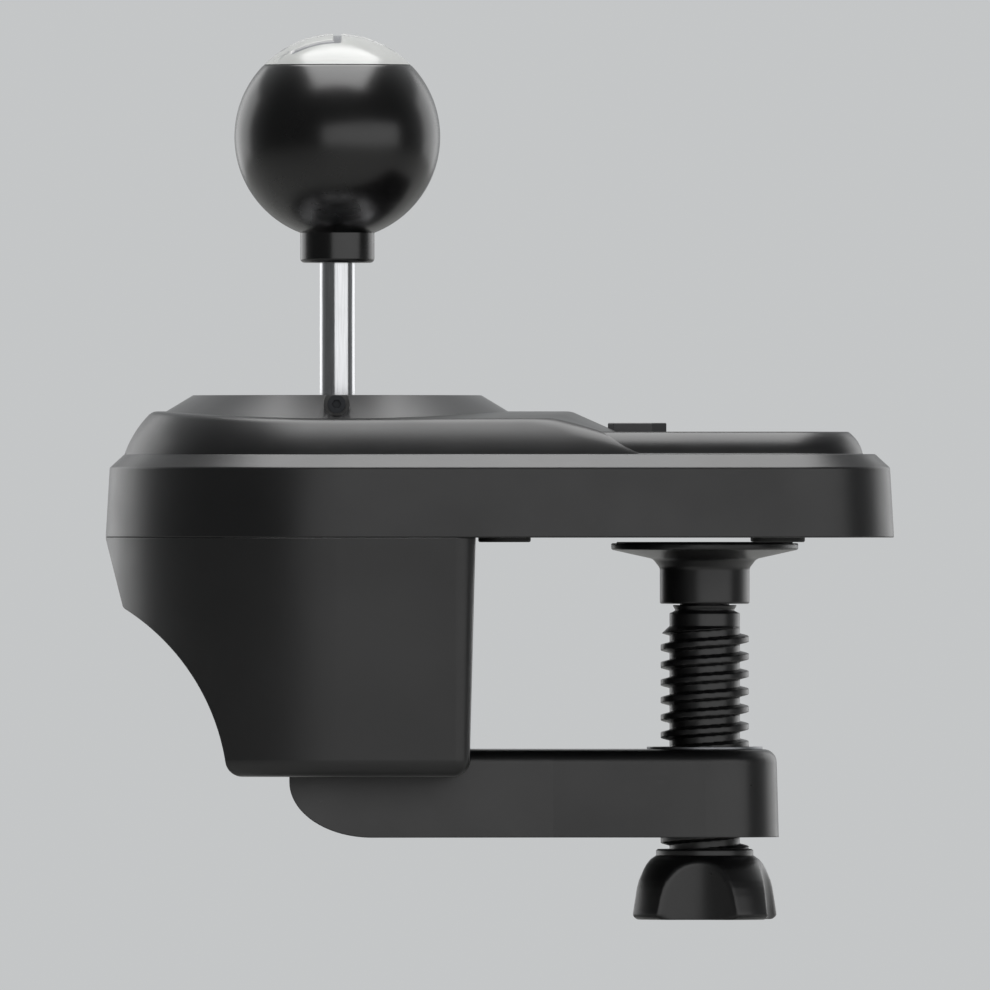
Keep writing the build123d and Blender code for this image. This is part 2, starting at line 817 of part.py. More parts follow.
# Clamp arm: a bar that widens towards the housing and ends round about the clamp screw
nut_bore = thread_radius + nut_thread_gap
nut_radius = nut_bore + nut_wall
arm_left = -arm_left_from_clamp
arm_flare = (arm_left_from_clamp - arm_flare_from_clamp) * tan(radians(arm_flare_angle))


def arm_outline(inset):
    half = arm_half_width - inset
    with BuildSketch() as outline:
        with BuildLine():
            Polyline(
                (0, -half),
                (-arm_flare_from_clamp, -half),
                (arm_left, -half - arm_flare),
                (arm_left, half + arm_flare),
                (-arm_flare_from_clamp, half),
                (0, half),
            )
            ThreePointArc((0, half), (half, 0), (0, -half))
        make_face()
    return outline.sketch


with BuildPart() as clamp_arm:
    with BuildSketch(Plane.XY.offset(arm_bottom)):
        add(arm_outline(0))
    with BuildSketch(Plane.XY.offset(arm_top)):
        add(arm_outline(arm_height * tan(radians(arm_draft))))
    loft(ruled=True)
    fillet(clamp_arm.faces().sort_by(Axis.Z)[-1].edges(), arm_top_round)
    heel_corner = (arm_left, arm_bottom)
    heel_side = (arm_left, arm_bottom + arm_heel_height)
    heel_foot = (arm_left + arm_heel_length, arm_bottom)
    with BuildSketch(Plane.XZ.offset(-base_half_width)):
        with BuildLine():
            EllipticalCenterArc(
                (heel_foot[0], heel_side[1]), arm_heel_length, arm_heel_height, start_angle=180, arc_size=90
            )
            Polyline(
                heel_foot,
                (heel_foot[0], arm_bottom - overrun),
                (arm_left - overrun, arm_bottom - overrun),
                (arm_left - overrun, heel_side[1]),
                heel_side,
            )
        make_face()
    extrude(amount=2 * base_half_width, mode=Mode.SUBTRACT)
    add(housing_form.part, mode=Mode.SUBTRACT)
    with BuildSketch(Plane.XY.offset(arm_bottom)):
        Circle(nut_radius)
    extrude(amount=arm_height, mode=Mode.SUBTRACT)
    with BuildSketch(Plane.XY.offset(arm_bottom)):
        with Locations(*arm_bolt_places):
            Circle(arm_bolt_radius)
    extrude(amount=arm_height, mode=Mode.SUBTRACT)
    with BuildSketch(Plane.XY.offset(arm_bottom)):
        with Locations(*arm_bolt_places):
            Circle(arm_bolt_head_radius + arm_bolt_head_gap)
    extrude(amount=arm_bolt_seat_z - arm_bottom, mode=Mode.SUBTRACT)
clamp_arm.part.label = "clamp_arm"
export_step(clamp_arm.part, "parts/clamp_arm.step")

arm_bolt_length = frame_floor - arm_bolt_seat_z
with BuildPart() as arm_bolts:
    for x, y in arm_bolt_places:
        with Locations(Plane((x, y, arm_bolt_seat_z), x_dir=(1, 0, 0), z_dir=(0, 0, -1))):
            add(cap_screw(arm_bolt_head_radius, arm_bolt_head_height, arm_bolt_radius, arm_bolt_length))
arm_bolts.part.label = "arm_bolts"
export_step(arm_bolts.part, "parts/arm_bolts.step")


# One right-hand trapezoid thread along the clamp axis, from a root radius out to a crest
def thread_ridge(root_radius, crest_radius, crest_width, flank, low_z, height):
    slope = flank / (crest_radius - root_radius)
    root_half = crest_width / 2 + flank + slope * thread_root_sink
    with BuildPart() as ridge:
        with BuildLine():
            Helix(thread_pitch, height, root_radius, center=(0, 0, low_z))
        with BuildSketch(Plane.XZ):
            with BuildLine():
                Polyline(
                    (root_radius - thread_root_sink, low_z - root_half),
                    (crest_radius, low_z - crest_width / 2),
                    (crest_radius, low_z + crest_width / 2),
                    (root_radius - thread_root_sink, low_z + root_half),
                    close=True,
                )
            make_face()
        sweep(is_frenet=True)
    return ridge.part


# Clamp screw: spigot for the pad, necked shoulder, threaded shank
neck_z = -pad_depth - spigot_gap
neck_end_z = neck_z - screw_neck_length
shank_z = neck_end_z - screw_neck_flare
thread_top = -thread_top_below_desk
knob_top = arm_bottom - knob_gap_below_arm
screw_bottom = knob_top - screw_into_knob
spigot_top = -pad_facing_thickness - spigot_below_facing
clip_top = spigot_top - clip_from_spigot_end
clip_bottom = clip_top - clip_thickness
clip_inner = spigot_radius - clip_groove
thread_crest = thread_pitch * thread_crest_share
thread_flank = thread_pitch * thread_flank_share
with BuildPart() as clamp_screw:
    with BuildSketch(Plane.XZ):
        with BuildLine():
            Polyline(
                (0, screw_bottom),
                (screw_core_radius, screw_bottom),
                (screw_core_radius, shank_z),
                (screw_neck_waist, neck_end_z),
                (screw_neck_radius, neck_z),
                (spigot_radius, neck_z),
                (spigot_radius, clip_bottom),
                (clip_inner, clip_bottom),
                (clip_inner, clip_top),
                (spigot_radius, clip_top),
                (spigot_radius, spigot_top),
                (0, spigot_top),
                close=True,
            )
        make_face()
    revolve(axis=Axis.Z)
    with BuildPart(mode=Mode.PRIVATE) as thread:
        add(
            thread_ridge(
                screw_core_radius,
                thread_radius,
                thread_crest,
                thread_flank,
                knob_top - thread_pitch,
                thread_top - knob_top + thread_pitch,
            )
        )
        with BuildSketch(Plane.XZ):
            with BuildLine():
                Polyline(
                    (0, knob_top),
                    (thread_radius + overrun, knob_top),
                    (thread_radius + overrun, thread_top - thread_runout),
                    (screw_core_radius, thread_top),
                    (0, thread_top),
                    close=True,
                )
            make_face()
        revolve(axis=Axis.Z, mode=Mode.INTERSECT)
    add(thread.part)
    with BuildSketch(Plane.XY.offset(screw_bottom)):
        Circle(knob_bolt_shank_radius)
    extrude(amount=knob_bolt_length, mode=Mode.SUBTRACT)
clamp_screw.part.label = "clamp_screw"
export_step(clamp_screw.part, "parts/clamp_screw.step")

# Nut let into the arm, bored clear of the screw's thread
with BuildPart() as clamp_nut:
    with BuildSketch(Plane.XY.offset(arm_bottom)):
        Circle(nut_radius)
        Circle(nut_bore, mode=Mode.SUBTRACT)
    extrude(amount=arm_height)
    with BuildSketch(Plane.XY.offset(arm_top)):
        Circle(nut_radius + nut_flange_width)
        Circle(nut_bore, mode=Mode.SUBTRACT)
    extrude(amount=nut_flange_height)
clamp_nut.part.label = "clamp_nut"
export_step(clamp_nut.part, "parts/clamp_nut.step")

# Clamp pad: a flared disc that turns free on the screw's spigot, held by a clip
pad_recess_z = -pad_facing_thickness
pad_rim_z = -pad_facing_standout
pad_bore = spigot_radius + pin_running_gap
clip_outer = clip_inner + clip_width
clip_chamber = clip_outer + clip_room
with BuildPart() as clamp_pad:
    with BuildSketch(Plane.XZ):
        with BuildLine():
            Polyline(
                (clip_chamber, pad_recess_z),
                (pad_radius - pad_facing_inset, pad_recess_z),
                (pad_radius - pad_facing_inset, pad_rim_z),
                (pad_radius, pad_rim_z),
                (pad_radius, -pad_lip),
                (pad_cone_radius, -pad_cone_depth),
                (pad_collar_radius, -pad_cone_depth - pad_collar_blend),
                (pad_collar_radius, -pad_depth),
                (pad_bore, -pad_depth),
                (pad_bore, clip_bottom - clip_room),
                (clip_chamber, clip_bottom - clip_room),
                close=True,
            )
        make_face()
    revolve(axis=Axis.Z)
clamp_pad.part.label = "clamp_pad"
export_step(clamp_pad.part, "parts/clamp_pad.step")

with BuildPart() as pad_facing:
    with BuildSketch(Plane.XY.offset(pad_recess_z)):
        Circle(pad_radius - pad_facing_inset - pad_facing_fit)
    extrude(amount=pad_facing_thickness)
pad_facing.part.label = "pad_facing"
export_step(pad_facing.part, "parts/pad_facing.step")

with BuildPart() as pad_clip:
    with BuildSketch(Plane.XY.offset(clip_bottom)):
        Circle(clip_outer)
        Circle(clip_inner, mode=Mode.SUBTRACT)
        with Locations((clip_outer, 0)):
            Rectangle(2 * clip_outer, clip_gap, mode=Mode.SUBTRACT)
    extrude(amount=clip_thickness)
pad_clip.part.label = "pad_clip"
export_step(pad_clip.part, "parts/pad_clip.step")

# Hand knob with four finger scallops
knob_bottom = knob_top - knob_height
knob_scallop_centre = knob_scallop_floor + knob_scallop_radius
with BuildPart() as hand_knob:
    with BuildSketch(Plane.XZ):
        with BuildLine():
            Polyline((0, knob_bottom), (0, knob_top), (knob_collar_radius, knob_top))
            Line((knob_collar_radius, knob_top), (knob_collar_radius, knob_top - knob_collar_height))
            ThreePointArc(
                (knob_collar_radius, knob_top - knob_collar_height),
                (knob_shoulder_radius, knob_top - knob_shoulder_depth),
                (knob_shoulder_radius + (knob_outer_radius - knob_shoulder_radius) / 2, knob_top - knob_rim_depth),
            )
            Polyline(
                (knob_shoulder_radius + (knob_outer_radius - knob_shoulder_radius) / 2, knob_top - knob_rim_depth),
                (knob_outer_radius, knob_top - knob_skirt_depth),
                (knob_foot_radius, knob_bottom),
                (0, knob_bottom),
            )
        make_face()
    revolve(axis=Axis.Z)
    with BuildSketch(Plane.XY.offset(knob_bottom)):
        with PolarLocations(knob_scallop_centre, knob_scallops, start_angle=-90 - knob_scallop_turn):
            Circle(knob_scallop_radius)
    extrude(amount=knob_height, mode=Mode.SUBTRACT)
    with BuildSketch(Plane.XY.offset(screw_bottom)):
        Circle(screw_core_radius)
    extrude(amount=screw_into_knob, mode=Mode.SUBTRACT)
    with BuildSketch(Plane.XY.offset(knob_bottom)):
        Circle(knob_bolt_head_radius)
    extrude(amount=knob_bolt_head_height + knob_bolt_recess, mode=Mode.SUBTRACT)
    with BuildSketch(Plane.XY.offset(knob_bottom)):
        Circle(knob_bolt_shank_radius)
    extrude(amount=knob_height, mode=Mode.SUBTRACT)
hand_knob.part.label = "hand_knob"
export_step(hand_knob.part, "parts/hand_knob.step")

knob_bolt_seat = knob_bottom + knob_bolt_recess + knob_bolt_head_height
with BuildPart() as knob_bolt:
    with Locations(Plane((0, 0, knob_bolt_seat), x_dir=(1, 0, 0), z_dir=(0, 0, -1))):
        add(
            cap_screw(
                knob_bolt_head_radius,
                knob_bolt_head_height,
                knob_bolt_shank_radius,
                screw_bottom - knob_bolt_seat + knob_bolt_length,
            )
        )
knob_bolt.part.label = "knob_bolt"
export_step(knob_bolt.part, "parts/knob_bolt.step")

# Pivot frame: a floor plate with two cheeks that carry the gimbal's pins
hub_place = (lever_x, pivot_y)
yoke_room_x = hub_half_width + yoke_end_room
yoke_room_y = hub_half_width + yoke_side_room
yoke_half_x = yoke_room_x + yoke_wall
yoke_half_y = yoke_room_y + yoke_wall
left_cheek = -(yoke_half_x + yoke_to_frame_gap + frame_cheek_thickness)
right_cheek = yoke_half_x + spring_room + frame_cheek_thickness
bush_inner = pivot_pin_radius + pin_running_gap
bush_outer = bush_inner + bush_wall
sensor_posts = [
    (lever_x + dx * (sensor_board_half_length - board_corner_inset),
     pivot_y + dy * (sensor_board_half_width - board_corner_inset))
    for dx in (-1, 1)
    for dy in (-1, 1)
]
with BuildPart() as pivot_frame:
    with BuildSketch(Plane.XY.offset(housing_floor)):
        with Locations((lever_x + (left_cheek + right_cheek) / 2, 0)):
            Rectangle(right_cheek - left_cheek, 2 * frame_plate_half_width)
        with Locations(*arm_bolt_places):
            Circle(arm_bolt_radius, mode=Mode.SUBTRACT)
    extrude(amount=frame_plate_thickness)
    with BuildSketch(Plane.XY.offset(frame_floor)):
        with Locations(*sensor_posts):
            Circle(sensor_post_radius)
    extrude(amount=sensor_board_standoff)
    with BuildSketch(Plane.XY.offset(frame_floor)):
        with Locations(
            (lever_x + left_cheek + frame_cheek_thickness / 2, pivot_y),
            (lever_x + right_cheek - frame_cheek_thickness / 2, pivot_y),
        ):
            Rectangle(frame_cheek_thickness, 2 * frame_cheek_half_width)
    extrude(amount=pivot_z + frame_cheek_above_pivot - frame_floor)
    with BuildSketch(Plane.YZ.offset(lever_x + left_cheek)):
        with Locations((pivot_y, pivot_z)):
            Circle(bush_outer)
    extrude(amount=right_cheek - left_cheek, mode=Mode.SUBTRACT)
pivot_frame.part.label = "pivot_frame"
export_step(pivot_frame.part, "parts/pivot_frame.step")

# Flanged bushes, flanges inwards
bush_sides = [
    (left_cheek, frame_cheek_thickness, left_cheek + frame_cheek_thickness),
    (right_cheek, -frame_cheek_thickness, right_cheek - frame_cheek_thickness),
]
with BuildPart() as pivot_bushes:
    for outer_x, depth, inner_x in bush_sides:
        with BuildSketch(Plane.YZ.offset(lever_x + outer_x)):
            with Locations((pivot_y, pivot_z)):
                Circle(bush_outer)
                Circle(bush_inner, mode=Mode.SUBTRACT)
        extrude(amount=depth)
        with BuildSketch(Plane.YZ.offset(lever_x + inner_x)):
            with Locations((pivot_y, pivot_z)):
                Circle(bush_flange_radius)
                Circle(bush_inner, mode=Mode.SUBTRACT)
        extrude(amount=bush_flange_thickness if depth > 0 else -bush_flange_thickness)
pivot_bushes.part.label = "pivot_bushes"
export_step(pivot_bushes.part, "parts/pivot_bushes.step")

# Gimbal yoke: a ring round the hub, with a block beside it for the detent plunger
cam_y = pivot_y + yoke_half_y + cam_gap_to_yoke
detent_y = cam_y + cam_thickness / 2
detent_low_z = pivot_z + cam_radius + plunger_gap + plunger_standout
detent_half = plunger_radius + pin_running_gap + detent_block_wall
with BuildPart() as gimbal_yoke:
    with BuildSketch(Plane.XY.offset(pivot_z - yoke_half_height)):
        with Locations(hub_place):
            Rectangle(2 * yoke_half_x, 2 * yoke_half_y)
            Rectangle(2 * yoke_room_x, 2 * yoke_room_y, mode=Mode.SUBTRACT)
    extrude(amount=2 * yoke_half_height)
    fillet(gimbal_yoke.edges().filter_by(Axis.Z), hub_edge)
    with BuildSketch(Plane.XY.offset(pivot_z)):
        with Locations((lever_x, pivot_y + yoke_room_y + yoke_wall / 2)):
            Rectangle(2 * detent_half, yoke_wall)
    extrude(amount=detent_low_z + detent_block_height - pivot_z)
    with BuildSketch(Plane.XY.offset(detent_low_z)):
        with Locations((lever_x, (pivot_y + yoke_room_y + detent_y + detent_half) / 2)):
            Rectangle(2 * detent_half, detent_y + detent_half - pivot_y - yoke_room_y)
    extrude(amount=detent_block_height)
    with BuildSketch(Plane.XY.offset(detent_low_z)):
        with Locations((lever_x, detent_y)):
            Circle(plunger_radius + pin_running_gap)
    extrude(amount=detent_bore_depth, mode=Mode.SUBTRACT)
    with BuildSketch(Plane.XZ.offset(-(pivot_y + yoke_half_y + overrun))):
        with Locations((lever_x, pivot_z)):
            Circle(bush_inner)
    extrude(amount=2 * (yoke_half_y + overrun), mode=Mode.SUBTRACT)
    with BuildSketch(Plane.YZ.offset(lever_x - yoke_half_x - overrun)):
        with Locations((pivot_y, pivot_z)):
            Circle(pivot_pin_radius)
    extrude(amount=2 * (yoke_half_x + overrun), mode=Mode.SUBTRACT)
gimbal_yoke.part.label = "gimbal_yoke"
export_step(gimbal_yoke.part, "parts/gimbal_yoke.step")

with BuildPart() as select_pins:
    for start_x, end_x in (
        (left_cheek - pin_standout, -yoke_room_x),
        (yoke_room_x, right_cheek + pin_standout),
    ):
        with BuildSketch(Plane.YZ.offset(lever_x + start_x)):
            with Locations((pivot_y, pivot_z)):
                Circle(pivot_pin_radius)
        extrude(amount=end_x - start_x)
    chamfer(select_pins.edges().filter_by(GeomType.CIRCLE), pin_edge)
select_pins.part.label = "select_pins"
export_step(select_pins.part, "parts/select_pins.step")

# Centring spring wound round the right-hand pin, one leg up and one down
coil_radius = pivot_pin_radius + spring_gap_to_pin + spring_wire_radius
coil_start = lever_x + yoke_half_x + spring_end_gap + spring_wire_radius
coil_length = spring_room - bush_flange_thickness - 2 * (spring_end_gap + spring_wire_radius)
with BuildPart() as centring_spring:
    with BuildLine() as coil_path:
        Helix(
            coil_length / spring_turns, coil_length, coil_radius,
            center=(coil_start, pivot_y, pivot_z), direction=(1, 0, 0),
        )
    with BuildSketch(Plane(coil_path.wire() @ 0, z_dir=coil_path.wire() % 0)):
        Circle(spring_wire_radius)
    sweep(is_frenet=True)
    for leg_end, leg_turn in ((0, -1), (1, 1)):
        with BuildSketch(Plane(coil_path.wire() @ leg_end, z_dir=(coil_path.wire() % leg_end) * leg_turn)):
            Circle(spring_wire_radius)
        extrude(amount=spring_leg)
centring_spring.part.label = "centring_spring"
export_step(centring_spring.part, "parts/centring_spring.step")

# Pin on which the lever shifts, run through hub, yoke and cam
with BuildPart() as shift_pin:
    with BuildSketch(Plane.XZ.offset(-(cam_y + cam_thickness + pin_standout))):
        with Locations((lever_x, pivot_z)):
            Circle(pivot_pin_radius)
    extrude(amount=cam_y + cam_thickness - pivot_y + yoke_half_y + 2 * pin_standout)
    chamfer(shift_pin.edges().filter_by(GeomType.CIRCLE), pin_edge)
shift_pin.part.label = "shift_pin"
export_step(shift_pin.part, "parts/shift_pin.step")

# Detent cam, with a notch for the middle and one for each end of the shift
with BuildPart() as detent_cam:
    with BuildSketch(Plane.XZ.offset(-cam_y)):
        with Locations((lever_x, pivot_z)):
            Circle(cam_radius)
            Circle(pivot_pin_radius, mode=Mode.SUBTRACT)
            with PolarLocations(
                cam_radius + cam_notch_radius - cam_notch_depth,
                cam_notch_count,
                start_angle=90 - shift_angle,
                angular_range=2 * shift_angle,
                endpoint=True,
            ):
                Circle(cam_notch_radius, mode=Mode.SUBTRACT)
    extrude(amount=-cam_thickness)
detent_cam.part.label = "detent_cam"
export_step(detent_cam.part, "parts/detent_cam.step")

# Detent plunger and its spring, in the bore of the yoke's block
plunger_tip = pivot_z + cam_radius + plunger_gap
with BuildPart() as detent_plunger:
    with BuildSketch(Plane.XY.offset(plunger_tip)):
        with Locations((lever_x, detent_y)):
            Circle(plunger_radius)
    extrude(amount=plunger_length)
    fillet(detent_plunger.edges().group_by(Axis.Z)[0], plunger_nose)
detent_plunger.part.label = "detent_plunger"
export_step(detent_plunger.part, "parts/detent_plunger.step")

detent_spring_low = plunger_tip + plunger_length + detent_spring_gap + detent_spring_wire_radius
detent_spring_high = detent_low_z + detent_bore_depth - detent_spring_gap - detent_spring_wire_radius
with BuildPart() as detent_spring:
    with BuildLine() as detent_path:
        Helix(
            (detent_spring_high - detent_spring_low) / detent_spring_turns,
            detent_spring_high - detent_spring_low,
            detent_spring_coil_radius,
            center=(lever_x, detent_y, detent_spring_low),
        )
    with BuildSketch(Plane(detent_path.wire() @ 0, z_dir=detent_path.wire() % 0)):
        Circle(detent_spring_wire_radius)
    sweep(is_frenet=True)
detent_spring.part.label = "detent_spring"
export_step(detent_spring.part, "parts/detent_spring.step")

# Lever hub, with the rod pinned into it and a magnet in its foot
hub_low_z = pivot_z - hub_below_pivot
rod_low_z = pivot_z + rod_seat_above_pivot
rod_pin_z = pivot_z + rod_pin_above_pivot
magnet_low_z = hub_low_z - hub_stem_length - magnet_standout
with BuildPart() as lever_hub:
    with BuildSketch(Plane.XY.offset(hub_low_z)):
        with Locations(hub_place):
            Rectangle(2 * hub_half_width, 2 * hub_half_width)
    extrude(amount=hub_below_pivot + hub_above_pivot)
    chamfer(lever_hub.edges().filter_by(Axis.Z), hub_edge)
    with BuildSketch(Plane.XY.offset(hub_low_z)):
        with Locations(hub_place):
            Circle(hub_stem_radius)
    extrude(amount=-hub_stem_length)
    with BuildSketch(Plane.XY.offset(rod_low_z)):
        with Locations(hub_place):
            Circle(lever_radius)
    extrude(amount=hub_above_pivot, mode=Mode.SUBTRACT)
    with BuildSketch(Plane.XY.offset(magnet_low_z)):
        with Locations(hub_place):
            Circle(magnet_radius)
    extrude(amount=magnet_thickness, mode=Mode.SUBTRACT)
    with BuildSketch(Plane.XZ.offset(-(pivot_y + hub_half_width + overrun))):
        with Locations((lever_x, pivot_z)):
            Circle(pivot_pin_radius)
    extrude(amount=2 * (hub_half_width + overrun), mode=Mode.SUBTRACT)
    with BuildSketch(Plane.YZ.offset(lever_x - hub_half_width - overrun)):
        with Locations((pivot_y, rod_pin_z)):
            Circle(rod_pin_radius)
    extrude(amount=2 * (hub_half_width + overrun), mode=Mode.SUBTRACT)
lever_hub.part.label = "lever_hub"
export_step(lever_hub.part, "parts/lever_hub.step")

with BuildPart() as lever_magnet:
    with BuildSketch(Plane.XY.offset(magnet_low_z)):
        with Locations(hub_place):
            Circle(magnet_radius)
    extrude(amount=magnet_thickness)
lever_magnet.part.label = "lever_magnet"
export_step(lever_magnet.part, "parts/lever_magnet.step")

with BuildPart() as rod_pin:
    with BuildSketch(Plane.YZ.offset(lever_x - hub_half_width)):
        with Locations((pivot_y, rod_pin_z)):
            Circle(rod_pin_radius)
    extrude(amount=2 * hub_half_width)
rod_pin.part.label = "rod_pin"
export_step(rod_pin.part, "parts/rod_pin.step")

collar_z = ball_z - collar_drop
insert_z = collar_z + insert_inset
rod_top_z = insert_z + insert_length
with BuildPart() as lever_rod:
    with BuildSketch(Plane.XY.offset(rod_low_z)):
        with Locations(hub_place):
            Circle(lever_radius)
    extrude(amount=rod_top_z - rod_low_z)
    with BuildSketch(Plane.YZ.offset(lever_x - hub_half_width)):
        with Locations((pivot_y, rod_pin_z)):
            Circle(rod_pin_radius)
    extrude(amount=2 * hub_half_width, mode=Mode.SUBTRACT)
lever_rod.part.label = "lever_rod"
export_step(lever_rod.part, "parts/lever_rod.step")

# Ball knob: a metal insert in a ball with a collar, closed by a round cap
cap_z = ball_z + cap_cut_above_centre
with BuildPart() as knob_insert:
    with BuildSketch(Plane.XY.offset(insert_z)):
        with Locations(hub_place):
            Circle(insert_radius)
            Circle(lever_radius, mode=Mode.SUBTRACT)
    extrude(amount=insert_length)
knob_insert.part.label = "knob_insert"
export_step(knob_insert.part, "parts/knob_insert.step")

with BuildPart() as knob_ball:
    with BuildSketch(Plane.XY.offset(collar_z)):
        with Locations(hub_place):
            Circle(collar_radius)
    extrude(amount=ball_z - collar_z)
    fillet(knob_ball.edges().group_by(Axis.Z)[0], collar_round)
    with Locations((lever_x, pivot_y, ball_z)):
        Sphere(ball_radius)
    with BuildSketch(Plane.XY.offset(cap_z)):
        with Locations(hub_place):
            Circle(ball_radius)
    extrude(amount=ball_radius, mode=Mode.SUBTRACT)
    with BuildSketch(Plane.XY.offset(cap_z)):
        with Locations(hub_place):
            Circle(cap_spigot_radius)
    extrude(amount=-cap_spigot_depth, mode=Mode.SUBTRACT)
    with BuildSketch(Plane.XY.offset(rod_top_z)):
        with Locations(hub_place):
            Circle(insert_radius)
    extrude(amount=-(insert_length + insert_inset), mode=Mode.SUBTRACT)
knob_ball.part.label = "knob_ball"
export_step(knob_ball.part, "parts/knob_ball.step")

with BuildPart() as knob_cap:
    with Locations((lever_x, pivot_y, ball_z)):
        Sphere(ball_radius)
    with BuildSketch(Plane.XY.offset(cap_z)):
        with Locations(hub_place):
            Circle(ball_radius)
    extrude(amount=-(ball_radius + cap_cut_above_centre), mode=Mode.SUBTRACT)
    with BuildSketch(Plane.XY.offset(cap_z)):
        with Locations(hub_place):
            Circle(cap_spigot_radius)
    extrude(amount=-cap_spigot_depth)
    for notch_turn in (1, -1):
        with BuildSketch(Plane.XZ.offset(-pivot_y)):
            with Locations((lever_x, ball_z + ball_radius + cap_notch_radius - cap_notch_depth)):
                Circle(cap_notch_radius)
        revolve(
            axis=Axis((lever_x, pivot_y, ball_z), (notch_turn, 0, 0)),
            revolution_arc=cap_notch_half_angle,
            mode=Mode.SUBTRACT,
        )
knob_cap.part.label = "knob_cap"
export_step(knob_cap.part, "parts/knob_cap.step")

# Sensor board on the frame's posts, its chip under the magnet
sensor_board_z = frame_floor + sensor_board_standoff
with BuildPart() as sensor_board:
    with BuildSketch(Plane.XY.offset(sensor_board_z)):
        with Locations(hub_place):
            Rectangle(2 * sensor_board_half_length, 2 * sensor_board_half_width)
    extrude(amount=board_thickness)
    with BuildSketch(Plane.XY.offset(sensor_board_z + board_thickness)):
        with Locations(hub_place):
            Rectangle(2 * sensor_chip_half_size, 2 * sensor_chip_half_size)
    extrude(amount=sensor_chip_height)
sensor_board.part.label = "sensor_board"
export_step(sensor_board.part, "parts/sensor_board.step")

# Main board with the mode switch on it and the sockets at its desk end
board_top = board_z + main_board_thickness
with BuildPart() as main_board:
    with BuildSketch(Plane.XY.offset(board_z)):
        with Locations(((board_left + board_right) / 2, 0)):
            Rectangle(main_board_length, 2 * main_board_half_width)
    extrude(amount=main_board_thickness)
main_board.part.label = "main_board"
export_step(main_board.part, "parts/main_board.step")

switch_top = board_top + switch_height
switch_bore_depth = switch_plunger_depth + button_travel + switch_floor_gap
with BuildPart() as mode_switch:
    with BuildSketch(Plane.XY.offset(board_top)):
        with Locations((button_x, 0)):
            Rectangle(2 * switch_half_width, 2 * switch_half_width)
    extrude(amount=switch_height)
    with BuildSketch(Plane.XY.offset(switch_top)):
        with Locations((button_x, 0)):
            Circle(switch_plunger_radius + switch_plunger_gap)
    extrude(amount=-switch_bore_depth, mode=Mode.SUBTRACT)
mode_switch.part.label = "mode_switch"
export_step(mode_switch.part, "parts/mode_switch.step")

with BuildPart() as switch_plunger:
    with BuildSketch(Plane.XY.offset(switch_top - switch_plunger_depth)):
        with Locations((button_x, 0)):
            Circle(switch_plunger_radius)
    extrude(amount=switch_plunger_depth + switch_plunger_standout)
switch_plunger.part.label = "switch_plunger"
export_step(switch_plunger.part, "parts/switch_plunger.step")

# Mode button: its flange stays under the deck, its stem rests on the switch's plunger
flange_top = deck_z - cover_skin - button_flange_gap
flange_bottom = flange_top - button_flange_thickness
plunger_top = switch_top + switch_plunger_standout
with BuildPart() as mode_button:
    with BuildSketch(Plane.XY.offset(flange_top)):
        add(button_outline(0))
    extrude(amount=deck_z + button_standout - flange_top)
    fillet(mode_button.faces().sort_by(Axis.Z)[-1].edges(), button_edge)
    with BuildSketch(Plane.XY.offset(flange_top)):
        add(button_outline(button_flange_width))
    extrude(amount=-button_flange_thickness)
    with BuildSketch(Plane.XY.offset(flange_bottom)):
        with Locations((button_x, 0)):
            Circle(button_stem_radius)
    extrude(amount=plunger_top - flange_bottom)
mode_button.part.label = "mode_button"
export_step(mode_button.part, "parts/mode_button.step")

# Data socket under the main board: a flat-sided shell round a tongue
usb_mouth_x = wall_face_x - usb_recess_depth - usb_set_back
with BuildPart() as usb_socket:
    with BuildSketch(Plane.YZ.offset(usb_mouth_x)):
        with Locations((0, usb_z)):
            SlotOverall(2 * usb_half_width, usb_height)
    extrude(amount=-usb_depth)
    with BuildSketch(Plane.YZ.offset(usb_mouth_x)):
        with Locations((0, usb_z)):
            SlotOverall(2 * (usb_half_width - usb_shell), usb_height - 2 * usb_shell)
            Rectangle(2 * (usb_half_width - usb_tongue_inset), usb_tongue_thickness, mode=Mode.SUBTRACT)
    extrude(amount=-(usb_depth - usb_floor), mode=Mode.SUBTRACT)
usb_socket.part.label = "usb_socket"
export_step(usb_socket.part, "parts/usb_socket.step")

# Round socket in the end wall, its rim behind the wall
din_rim_x = din_wall_x - cover_skin - din_rim_gap - din_rim_radius * tan(radians(base_wall_draft))
with BuildPart() as din_socket:
    with BuildSketch(Plane.YZ.offset(din_face_x)):
        with Locations((din_from_centre, din_z)):
            Circle(din_radius)
    extrude(amount=-din_length)
    with BuildSketch(Plane.YZ.offset(din_rim_x)):
        with Locations((din_from_centre, din_z)):
            Circle(din_rim_radius)
    extrude(amount=-din_rim_thickness)
    with BuildSketch(Plane.YZ.offset(din_face_x)):
        with Locations((din_from_centre, din_z)):
            Circle(din_ring_outer)
            Circle(din_ring_inner, mode=Mode.SUBTRACT)
            with PolarLocations(din_pin_circle, din_pin_count):
                Circle(din_pin_radius)
    extrude(amount=-din_pin_depth, mode=Mode.SUBTRACT)
din_socket.part.label = "din_socket"
export_step(din_socket.part, "parts/din_socket.step")
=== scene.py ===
import math

import bmesh
import bpy
import numpy as np
from mathutils import Matrix, Vector


